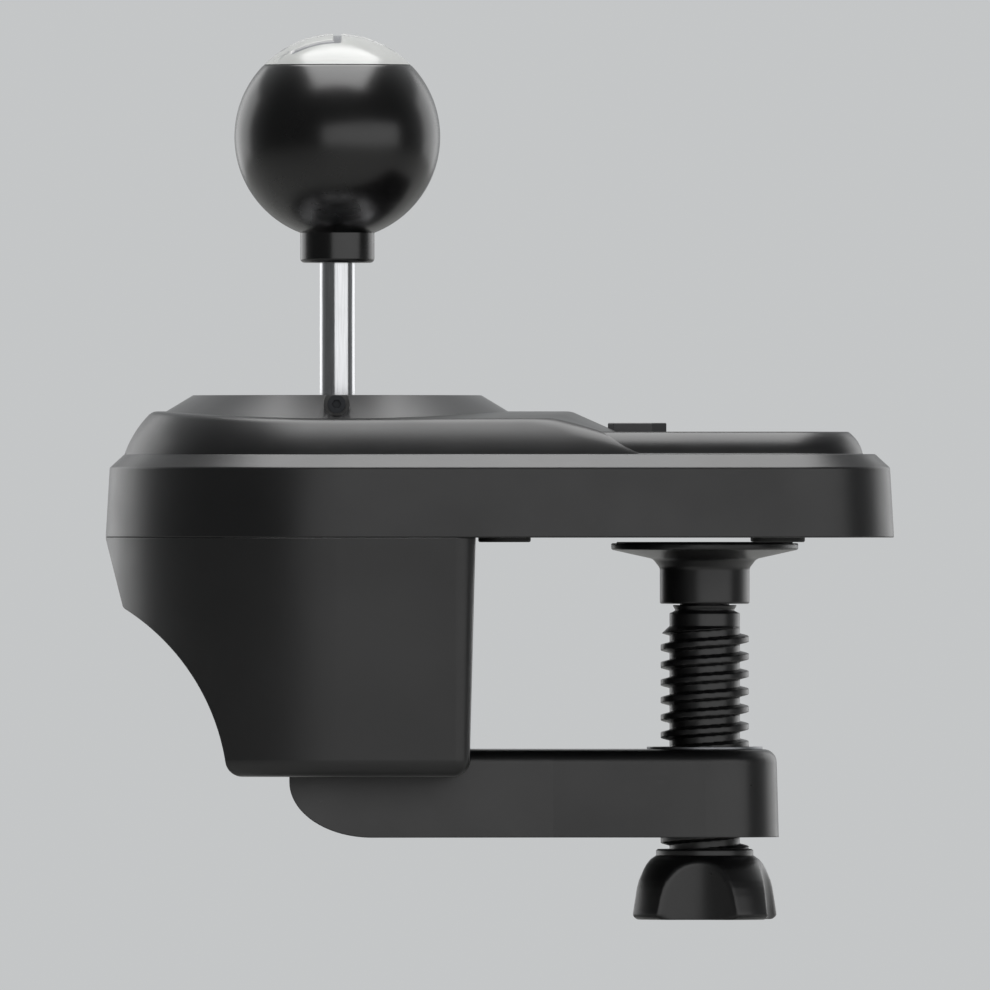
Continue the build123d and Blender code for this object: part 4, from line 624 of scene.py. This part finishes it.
def flatPlate(name, outlines, low, high, edge):  # plate with holes and rounded edges, from a flat curve
    curve = bpy.data.curves.new(name, "CURVE")
    curve.dimensions = "2D"
    curve.fill_mode = "BOTH"
    curve.extrude = (high - low) / 2 * mm - edge * mm
    curve.bevel_depth = edge * mm
    curve.bevel_resolution = 2
    curve.offset = -edge * mm
    for outline in outlines:
        spline = curve.splines.new("POLY")
        spline.points.add(len(outline) - 1)
        for point, (x, y) in zip(spline.points, outline):
            point.co = (x * mm, y * mm, 0, 1)
        spline.use_cyclic_u = True
    shape = bpy.data.objects.new(name + "Curve", curve)
    bpy.context.scene.collection.objects.link(shape)
    bpy.context.view_layer.update()
    mesh = bpy.data.meshes.new_from_object(shape.evaluated_get(bpy.context.evaluated_depsgraph_get()))
    mesh.transform(Matrix.Translation((0, 0, (low + high) / 2 * mm)))
    bpy.data.objects.remove(shape)
    bpy.data.curves.remove(curve)
    mesh.name = name
    return placedPiece(name, mesh, 40)


def makeGate():
    s = gateShape
    slots = [(leverX + x, y) for x, y in gateSlots()]
    screws = [circleOutline(s["screwHole"], centre, 32) for centre in circleOutline(s["screwCircle"], (leverX, 0), 4)]
    plate = flatPlate("gatePlate", [circleOutline(s["radius"], (leverX, 0), 192), slots] + screws,
                      shifter["gateSeat"], shifter["gateTop"], s["chamfer"])
    return finishPiece(plate, "base", "gate_steel", brushedStainlessSheet, "gate_plate")


makeGate()
print("bezel and gate made")


# Ball knob on its rod
knobShape = {
    "radius": 25.0, "cutAbove": 17.5, "collarRadius": 9.03, "collarDrop": 30.6, "collarRound": 1.1,
    "insertRadius": 6.4, "insertDrop": 12.0, "seatRadius": 12.0, "arcSteps": 110,
}


def makeBall():
    s = knobShape
    radius, top = s["radius"], ballZ + s["cutAbove"]
    topRadius = math.sqrt(radius ** 2 - s["cutAbove"] ** 2)
    start = math.asin(s["cutAbove"] / radius)
    joint = -math.acos(s["collarRadius"] / radius)
    low = ballZ - s["collarDrop"]
    collar = softProfile(
        [(s["insertRadius"], ballZ - s["insertDrop"]), (s["insertRadius"], low), (s["collarRadius"], low),
         (s["collarRadius"], ballZ + radius * math.sin(joint))],
        [0, 0.25, s["collarRound"], 0], steps=8)
    rises = [joint + (start - joint) * k / s["arcSteps"] for k in range(1, s["arcSteps"])]
    arc = [(radius * math.cos(rise), ballZ + radius * math.sin(rise)) for rise in rises]
    rim = [(topRadius - 0.02, top - 0.12), (topRadius - 0.2, top - 0.03), (s["seatRadius"], top - 0.03)]
    ball = ringPiece("knobBall", collar + arc + rim, 192, (leverX, pivotY, 0), closedEnds=False, sharpDegrees=40)
    return finishPiece(ball, "lever", "ball_gloss", buffedPhenolic, "knob_ball")


makeBall()

capShape = {
    "columns": [9.5, 3.17, -3.17, -9.5], "reach": 10.2, "grooveHalf": 0.95, "grooveDepth": 0.42, "grooveSoft": 0.35,
    "numbers": ["1", "3", "5", ""], "lowNumbers": ["2", "4", "6", "R"], "numberSize": 3.2, "numberReach": 12.9,
    "numberSpread": 0.86,  # the outer numbers move in, to stay on the cap
    "inkHeight": 0.015, "rings": 150, "steps": 320,
}


def grooveShare(x, y):  # 1 inside an engraved line, 0 outside, soft at its edges
    s = capShape
    nearest = np.abs(x) + np.maximum(np.abs(y) - s["columns"][0], 0) * 3
    for column, number in zip(s["columns"], s["numbers"]):
        ahead = s["reach"] if number else 0  # a column with no number ahead has a back half only
        nearest = np.minimum(nearest, np.hypot(y - column, np.maximum(np.maximum(x - ahead, -s["reach"] - x), 0)))
    return np.clip((s["grooveHalf"] - nearest) / s["grooveSoft"] + 0.5, 0, 1)


def makeCap():
    s, k = capShape, knobShape
    cut = k["cutAbove"]
    edge = math.sqrt(k["radius"] ** 2 - cut ** 2)
    radii = [edge - 0.25, edge - 0.02] + [edge * (1 - i / s["rings"]) for i in range(1, s["rings"])]
    steps = s["steps"]
    vertices, share = [], []
    for i, r in enumerate(radii):
        for n in range(steps):
            angle = 2 * math.pi * n / steps
            x, y = r * math.cos(angle), r * math.sin(angle)
            groove = float(grooveShare(x, y)) if i > 2 else 0.0
            dome = math.sqrt(k["radius"] ** 2 - r * r)
            z = cut + 0.02 if i == 0 else dome - groove * s["grooveDepth"]
            vertices.append(((leverX + x) * mm, (pivotY + y) * mm, (ballZ + z) * mm))
            share.append(groove)
    faces = [(i * steps + n, i * steps + (n + 1) % steps, (i + 1) * steps + (n + 1) % steps, (i + 1) * steps + n)
             for i in range(len(radii) - 1) for n in range(steps)]
    faces.append(tuple((len(radii) - 1) * steps + n for n in range(steps)))
    cap = meshPiece("knobCap", vertices, faces, sharpDegrees=60)
    cap.modifiers.clear()
    attribute = cap.data.attributes.new("engraving", "FLOAT", "POINT")
    attribute.data.foreach_set("value", share)
    finishPiece(cap, "lever", "cap_white", whiteAcrylic, "knob_cap")


def makeNumbers():
    s = capShape
    for row, x in ((s["numbers"], s["numberReach"]), (s["lowNumbers"], -s["numberReach"])):
        for character, y in zip(row, s["columns"]):
            if not character:
                continue
            words = bpy.data.curves.new("number", "FONT")
            words.body = character
            words.size = s["numberSize"] * mm
            words.align_x, words.align_y = "CENTER", "CENTER"
            shape = bpy.data.objects.new("number", words)
            bpy.context.scene.collection.objects.link(shape)
            bpy.context.view_layer.update()
            mesh = bpy.data.meshes.new_from_object(shape.evaluated_get(bpy.context.evaluated_depsgraph_get()))
            bpy.data.objects.remove(shape)
            bpy.data.curves.remove(words)
            for vertex in mesh.vertices:  # upright as the driver sees it, who looks along +X
                px = x + vertex.co.y / mm
                py = y * s["numberSpread"] - vertex.co.x / mm
                pz = math.sqrt(knobShape["radius"] ** 2 - px * px - py * py) + s["inkHeight"]
                vertex.co = ((leverX + px) * mm, (pivotY + py) * mm, (ballZ + pz) * mm)
            side = "High" if x > 0 else "Low"
            piece = placedPiece("capNumber" + side + character, mesh)
            piece.modifiers.clear()
            finishPiece(piece, "lever", "cap_white", padPrintInk)


makeCap()
makeNumbers()

rodShape = {"radius": 4.32, "tipRadius": 4.0, "lowZ": -31.75, "topZ": 86.8, "edge": 0.3, "ringsZ": (-25, 84, 12)}


def makeRod():
    s = rodShape
    heights = [s["lowZ"] + s["edge"], *np.linspace(*s["ringsZ"]), s["topZ"] - s["edge"]]
    rows = [(s["tipRadius"], s["lowZ"])] + [(s["radius"], z) for z in heights] + [(s["tipRadius"], s["topZ"])]
    rod = ringPiece("leverRod", rows, 128, (leverX, pivotY, 0))
    finishPiece(rod, "lever", "lever_chrome", polishedSteelBar, "lever_rod")


makeRod()
print("lever and knob made")


# Clamp pad, turned, as radius and height
padShape = {
    "points": [(7.5, -0.9), (21.5, -0.9), (21.5, -0.3), (22.7, -0.3), (22.7, -1.85), (12.6, -4.1), (10.9, -6.3),
               (10.9, -15.0), (6.05, -15.0), (6.05, -5.6), (7.5, -5.6)],
    "rounds": [0, 0, 0.1, 0.35, 0.6, 2.0, 1.6, 0.5, 0.2, 0, 0],
}
pad = turned("clampPad", padShape["points"], padShape["rounds"], looped=True, steps=160)
finishPiece(pad, "pad", "arm_plastic", glassFilledNylon, "clamp_pad")

facingShape = {"radius": 21.4, "thickness": 0.9, "edge": 0.15, "ribFrom": 0.8, "ribTo": 2.2, "ribStep": 2.0,
               "ribDepth": 0.25}


def makeFacing():  # rubber disc with round ribs
    s = facingShape
    rings = [(s["radius"], -s["thickness"]), (s["radius"], -s["edge"]), (s["radius"] - s["edge"], 0.0)]
    r = s["radius"] - s["ribFrom"]
    while r > s["ribTo"]:
        rings += [(r, 0.0), (r - 0.25, -s["ribDepth"]), (r - 0.75, -s["ribDepth"]), (r - 1.0, 0.0)]
        r -= s["ribStep"]
    disc = ringPiece("padFacing", rings, 128)
    finishPiece(disc, "pad", "black_rubber", mouldedNitrileRubber, "pad_facing")


makeFacing()

screwShape = {
    "core": 8.55, "crest": 10.7, "pitch": 4.25, "crestWidth": 1.36, "flank": 0.595,
    "threadTop": -20.4, "runout": 2.0, "bottomZ": -84.5, "rowStep": 0.2,
    "neck": [(8.55, -17.3), (7.05, -16.6), (7.9, -15.3), (6.0, -15.3), (6.0, -5.2), (5.2, -5.2), (5.2, -4.4),
             (6.0, -4.4), (6.0, -3.4), (1.0, -3.4)],
    "neckRounds": [0, 0.3, 0.3, 0.2, 0, 0, 0, 0, 0, 0.3, 0],
}


def makeScrew():
    s = screwShape
    startZ = shifter["knobTop"] - s["pitch"]

    def threadRadius(z):
        def at(angle):
            turn = ((z - startZ) / s["pitch"] - angle / (2 * math.pi) + 0.5) % 1.0 - 0.5
            away = abs(turn) * s["pitch"] - s["crestWidth"] / 2
            share = min(1, max(0, 1 - away / s["flank"]))
            share = share * share * (3 - 2 * share) * 0.35 + share * 0.65  # corners a little soft
            room = min(1, max(0, (s["threadTop"] - z) / s["runout"]))
            return s["core"] + (s["crest"] - s["core"]) * min(share, room)
        return at

    rows = [(4.0, s["bottomZ"]), (s["core"], s["bottomZ"] + 0.4), (s["core"], shifter["knobTop"] + 0.02)]
    z = shifter["knobTop"] + 0.05
    while z < s["threadTop"]:
        rows.append((threadRadius(z), z))
        z += s["rowStep"]
    rows += softProfile([(s["core"], s["threadTop"] + 0.1)] + s["neck"], s["neckRounds"], steps=3)
    screw = ringPiece("clampScrew", rows, 144, sharpDegrees=45)
    finishPiece(screw, "screw", "arm_plastic", glassFilledNylon, "clamp_screw")


makeScrew()

handKnobShape = {
    "height": 17.1, "collar": 11.8, "collarHeight": 1.6, "scallops": 4, "scallopRadius": 17.0, "scallopFloor": 13.6,
    "turnDegrees": -96.5, "edgeBlend": 0.9, "faceRadius": 16.4, "recessRadius": 5.3, "recessDepth": 4.5,
    "side": [(11.9, 1.6), (13.2, 2.5), (14.5, 3.7), (15.5, 4.9), (16.4, 6.3), (17.2, 7.6), (17.8, 9.2),
             (18.4, 11.6), (19.2, 15.7)],
    "foot": [(19.15, 16.1), (18.8, 16.5), (17.9, 17.0), (17.2, 17.1)],
}


def makeHandKnob():
    s = handKnobShape
    top = shifter["knobTop"]
    centre = s["scallopFloor"] + s["scallopRadius"]

    def cut(radius):
        def at(angle):
            part = 2 * math.pi / s["scallops"]
            turn = (angle - math.radians(s["turnDegrees"]) + part / 2) % part - part / 2
            inside = s["scallopRadius"] ** 2 - (centre * math.sin(turn)) ** 2
            if inside <= 0:
                return radius
            scallop = centre * math.cos(turn) - math.sqrt(inside)
            return float(min(radius, softMin(radius, scallop, s["edgeBlend"])))
        return at

    side = []
    for (r0, d0), (r1, d1) in zip(s["side"][:-1], s["side"][1:]):
        side += [(r0 + (r1 - r0) * k / 4, d0 + (d1 - d0) * k / 4) for k in range(4)]
    side += [s["side"][-1]] + s["foot"]
    collar, face, recess = s["collar"], top - s["height"], s["recessRadius"]
    rows = [(9.0, top - 0.02), (collar - 0.4, top), (collar, top - 0.35), (collar, top - s["collarHeight"])]
    rows += [(cut(r), top - d) for r, d in side]
    rows += [(cut(s["faceRadius"]), face), (recess + 0.3, face), (recess, face + 0.3),
             (recess, face + s["recessDepth"])]
    knob = ringPiece("handKnob", rows[::-1], 240, sharpDegrees=42)
    finishPiece(knob, "screw", "arm_plastic", glassFilledNylon, "hand_knob")


makeHandKnob()


# Cap screw with a hexagon socket; its head seats at place, its shank points along down
def socketScrew(name, s, place, down, knurled=False):
    head, high, shank = s["head"], s["headHeight"], s["shank"]
    socket = hexRadius(head * 0.5)
    wavy = (lambda angle: head * (1 - 0.02 * (1 + math.cos(36 * angle)) / 2)) if knurled else head
    rings = [(shank * 0.75, -s["length"]), (shank, -s["length"] + shank * 0.25), (shank, -0.05),
             (shank + 0.15, 0.0), (head - 0.15, 0.0), (wavy, 0.15), (wavy, high - 0.3), (head - 0.12, high - 0.1),
             (head - 0.35, high), (lambda angle: socket(angle) + 0.12, high), (socket, high - 0.12),
             (socket, high * 0.4), (0.05, high * 0.32)]
    return ringPiece(name, rings, 72, place, facing(-Vector(down)), sharpDegrees=32)


knobBoltShape = {"head": 5.0, "headHeight": 3.0, "shank": 2.5, "length": 12.6, "seatZ": -87.1}
knobBolt = socketScrew("knobBolt", knobBoltShape, (0, 0, knobBoltShape["seatZ"]), (0, 0, 1))
finishPiece(knobBolt, "screw", "black_steel", blackOxideSteel, "knob_bolt")

armBoltShape = {"head": 4.3, "headHeight": 5.0, "shank": 2.5, "length": 10.4, "seatZ": -61.7,
                "fromLever": 8.0, "halfX": 11.0, "halfY": 12.0}


def makeArmBolts():
    s = armBoltShape
    places = [(leverX + s["fromLever"] + sx * s["halfX"], sy * s["halfY"], s["seatZ"])
              for sx in (-1, 1) for sy in (-1, 1)]
    bolts = joined("armBolts", [socketScrew("bolt", s, place, (0, 0, 1), True) for place in places])
    finishPiece(bolts, "base", "black_steel", blackOxideSteel, "arm_bolts")


makeArmBolts()

footShape = {
    "places": [(x, y) for x in (-48.6, 17.7) for y in (38.0, -38.0)],
    "profile": [(0.2, 0.35), (3.4, 0.35), (3.9, 0.0), (6.35, 0.0), (6.35, 3.4), (0.2, 3.4)],
    "rounds": [0, 0.3, 0.2, 0.45, 0.1, 0],
}
footProfile = softProfile(footShape["profile"], footShape["rounds"])
feet = joined("rubberFeet", [ringPiece("foot", footProfile, 72, (x, y, 0)) for x, y in footShape["places"]])
finishPiece(feet, "base", "black_rubber", mouldedNitrileRubber, "rubber_feet")
print("clamp made")


pinShape = {"profile": [(0.02, -3.0), (0.32, -3.0), (0.32, 2.2), (0.02, 2.5)], "rounds": [0, 0, 0.15, 0],
            "x": 42.0, "circle": 2.6, "count": 6}
dinPins = joined("roundSocketPins", [
    turned("pin", pinShape["profile"], pinShape["rounds"], steps=16, place=(pinShape["x"], y, z),
           turn=facing((1, 0, 0)))
    for y, z in circleOutline(pinShape["circle"], coverShape["dinCentre"], pinShape["count"])])
finishPiece(dinPins, "base", "machined_steel", goldFlash)

contactShape = {"firstY": -1.75, "pitch": 0.5, "count": 8, "rowsZ": (6.95, 6.19), "halfWidth": 0.12,
                "height": 0.06, "alongX": (39.4, 44.2)}


def makeContacts():
    s = contactShape
    strips = []
    for y in (s["firstY"] + s["pitch"] * k for k in range(s["count"])):
        for z in s["rowsZ"]:
            low, high, top = y - s["halfWidth"], y + s["halfWidth"], z + s["height"]
            strips.append(prism("contact", [(low, z), (high, z), (high, top), (low, top)], *s["alongX"], "X"))
    finishPiece(joined("dataSocketContacts", strips), "base", "machined_steel", goldFlash)


makeContacts()


def chip(name, x, y, z, length, width, height):  # block with a chamfered top
    a, b = length / 2, width / 2
    ring = [(-a, -b), (a, -b), (a, b), (-a, b)]
    vertices = [Vector((x + u, y + v, z)) * mm for u, v in ring]
    vertices += [Vector((x + u, y + v, z + height - 0.15)) * mm for u, v in ring]
    vertices += [Vector((x + u * 0.93, y + v * 0.93, z + height)) * mm for u, v in ring]
    faces = [(3, 2, 1, 0), (8, 9, 10, 11)]
    faces += [(i, (i + 1) % 4, 4 + (i + 1) % 4, 4 + i) for i in range(4)]
    faces += [(4 + i, 4 + (i + 1) % 4, 8 + (i + 1) % 4, 8 + i) for i in range(4)]
    return meshPiece(name, vertices, faces)


boardShape = {
    "topZ": 9.8,
    "chips": [  # x, y, length, width, height
        (8.0, 0.0, 7.0, 7.0, 1.0), (22.0, 6.0, 5.0, 4.0, 1.2), (20.0, -6.0, 3.2, 1.6, 0.9),
        (28.0, -3.0, 3.2, 1.6, 0.9), (-4.0, 9.0, 2.0, 1.2, 0.7), (-4.0, -9.0, 2.0, 1.2, 0.7)],
}
boardChips = joined("mainBoardChips", [
    chip("chip", x, y, boardShape["topZ"], *sizes) for x, y, *sizes in boardShape["chips"]])
finishPiece(boardChips, "base", "inner_plastic", mouldedNylonInner)
print("sockets and boards detailed")


# Finishes of the solids that stay as they are
solidFinish = {
    "lower_housing": housingAbs, "base_plate": housingAbs, "clamp_arm": glassFilledNylon,
    "mode_button": polishedAbsButton,
    "mode_switch": mouldedNylonInner, "switch_plunger": mouldedNylonInner, "din_socket": mouldedNylonInner,
    "usb_socket": turnedSteel, "main_board": solderMaskBoard, "sensor_board": solderMaskBoard,
    "bezel_screws": blackOxideSteel, "gate_screws": blackOxideSteel, "cover_screws": blackOxideSteel,
    "housing_screws": blackOxideSteel, "pivot_frame": castZinc, "pivot_bushes": sinteredBronze, "clamp_nut": castZinc,
    "centring_spring": drawnSpringWire, "detent_spring": drawnSpringWire, "gimbal_yoke": castZinc,
    "lever_hub": castZinc,
    "select_pins": turnedSteel, "shift_pin": turnedSteel, "rod_pin": turnedSteel, "detent_plunger": turnedSteel,
    "detent_cam": turnedSteel, "knob_insert": turnedSteel, "pad_clip": turnedSteel, "lever_magnet": nickelPlate,
}
for node, material in solidFinish.items():
    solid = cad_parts[node]
    solid.data.materials.clear()
    solid.data.materials.append(material)
print("solids finished:", len(solidFinish))


# Studio, in metres and watts
studio = {
    "floorColour": "#acacaa", "floorShade": "#a6a6a4", "floorHalf": 1.45,
    "floorDrop": 0.035,  # room below for the hand knob when the clamp is wound open
    "worldColour": "#d3d5d6", "worldNear": 0.17, "worldFar": 0.85,
    "lights": [  # name, place, aim, width, height, watts
        ("broadFront", (0.55, -1.15, 0.05), (-0.05, 0, 0.0), 2.6, 0.8, 9.5),
        ("leftRim", (-0.85, 0.8, 0.1), (-0.08, 0, 0.0), 0.85, 1.0, 3.4),
        ("rightRim", (0.75, 0.8, 0.1), (0.0, 0, 0.0), 0.85, 1.0, 3.4),
        ("overhead", (-0.05, 0.0, 1.0), (-0.05, 0.0, 0.0), 0.9, 1.1, 18.0),
    ],
}


def makeStudio():
    s = studio
    floorZ = cadBox[0].z - s["floorDrop"]
    half = s["floorHalf"]
    mesh = bpy.data.meshes.new("studioFloor")
    corners = [(-half, -half, floorZ), (half, -half, floorZ), (half, half, floorZ), (-half, half, floorZ)]
    mesh.from_pydata(corners, [], [(0, 1, 2, 3)])
    floor = bpy.data.objects.new("studioFloor", mesh)
    bpy.context.scene.collection.objects.link(floor)
    material, tree, shader, place = newMaterial("matPaintedFloor")
    mottle = addNode(tree, "ShaderNodeTexNoise", {"Scale": featureScale(60), "Detail": 5.0},
                     {"Vector": (place, "Object")})
    tone = addNode(tree, "ShaderNodeValToRGB", links={"Fac": (mottle, "Fac")})
    tone.color_ramp.elements[0].color = hexColour(s["floorShade"])
    tone.color_ramp.elements[1].color = hexColour(s["floorColour"])
    tree.links.new(tone.outputs["Color"], shader.inputs["Base Color"])
    shader.inputs["Roughness"].default_value = 0.6
    mesh.materials.append(material)
    world = bpy.data.worlds.new("studioWorld")
    bpy.context.scene.world = world
    world.use_nodes = True
    world.node_tree.nodes["Background"].inputs["Color"].default_value = hexColour(s["worldColour"])
    direction = addNode(world.node_tree, "ShaderNodeTexCoord")
    parts = addNode(world.node_tree, "ShaderNodeSeparateXYZ", links={"Vector": (direction, "Generated")})
    glow = addNode(  # a pale wall behind the shifter and a dim room on the driver's right
        world.node_tree, "ShaderNodeMapRange",
        {"interpolation_type": "SMOOTHSTEP", "From Min": -0.2, "From Max": 1.0,
         "To Min": s["worldNear"], "To Max": s["worldFar"]},
        {"Value": (parts, "Y")},
    )
    world.node_tree.links.new(glow.outputs["Result"], world.node_tree.nodes["Background"].inputs["Strength"])
    for name, place, aim, width, height, watts in s["lights"]:
        light = bpy.data.lights.new(name, "AREA")
        light.shape = "RECTANGLE"
        light.size, light.size_y, light.energy = width, height, watts
        lamp = bpy.data.objects.new(name, light)
        lamp.location = place
        lamp.rotation_euler = (Vector(aim) - Vector(place)).to_track_quat("-Z", "Y").to_euler()
        bpy.context.scene.collection.objects.link(lamp)


def makeCamera():
    view = {"distance": 10.0, "frameWidth": 0.2403, "centreX": -0.0509, "centreZ": 0.0114}
    camera = bpy.data.cameras.new("sideCamera")
    camera.sensor_width = 36.0
    camera.lens = 36.0 * view["distance"] / view["frameWidth"]
    camera.clip_start, camera.clip_end = 0.5, 30.0
    holder = bpy.data.objects.new("sideCamera", camera)
    holder.location = (view["centreX"], -view["distance"], view["centreZ"])
    holder.rotation_euler = (math.radians(90), 0, 0)
    bpy.context.scene.collection.objects.link(holder)
    bpy.context.scene.camera = holder


makeStudio()
makeCamera()
bpy.context.scene.view_settings.view_transform = "Standard"
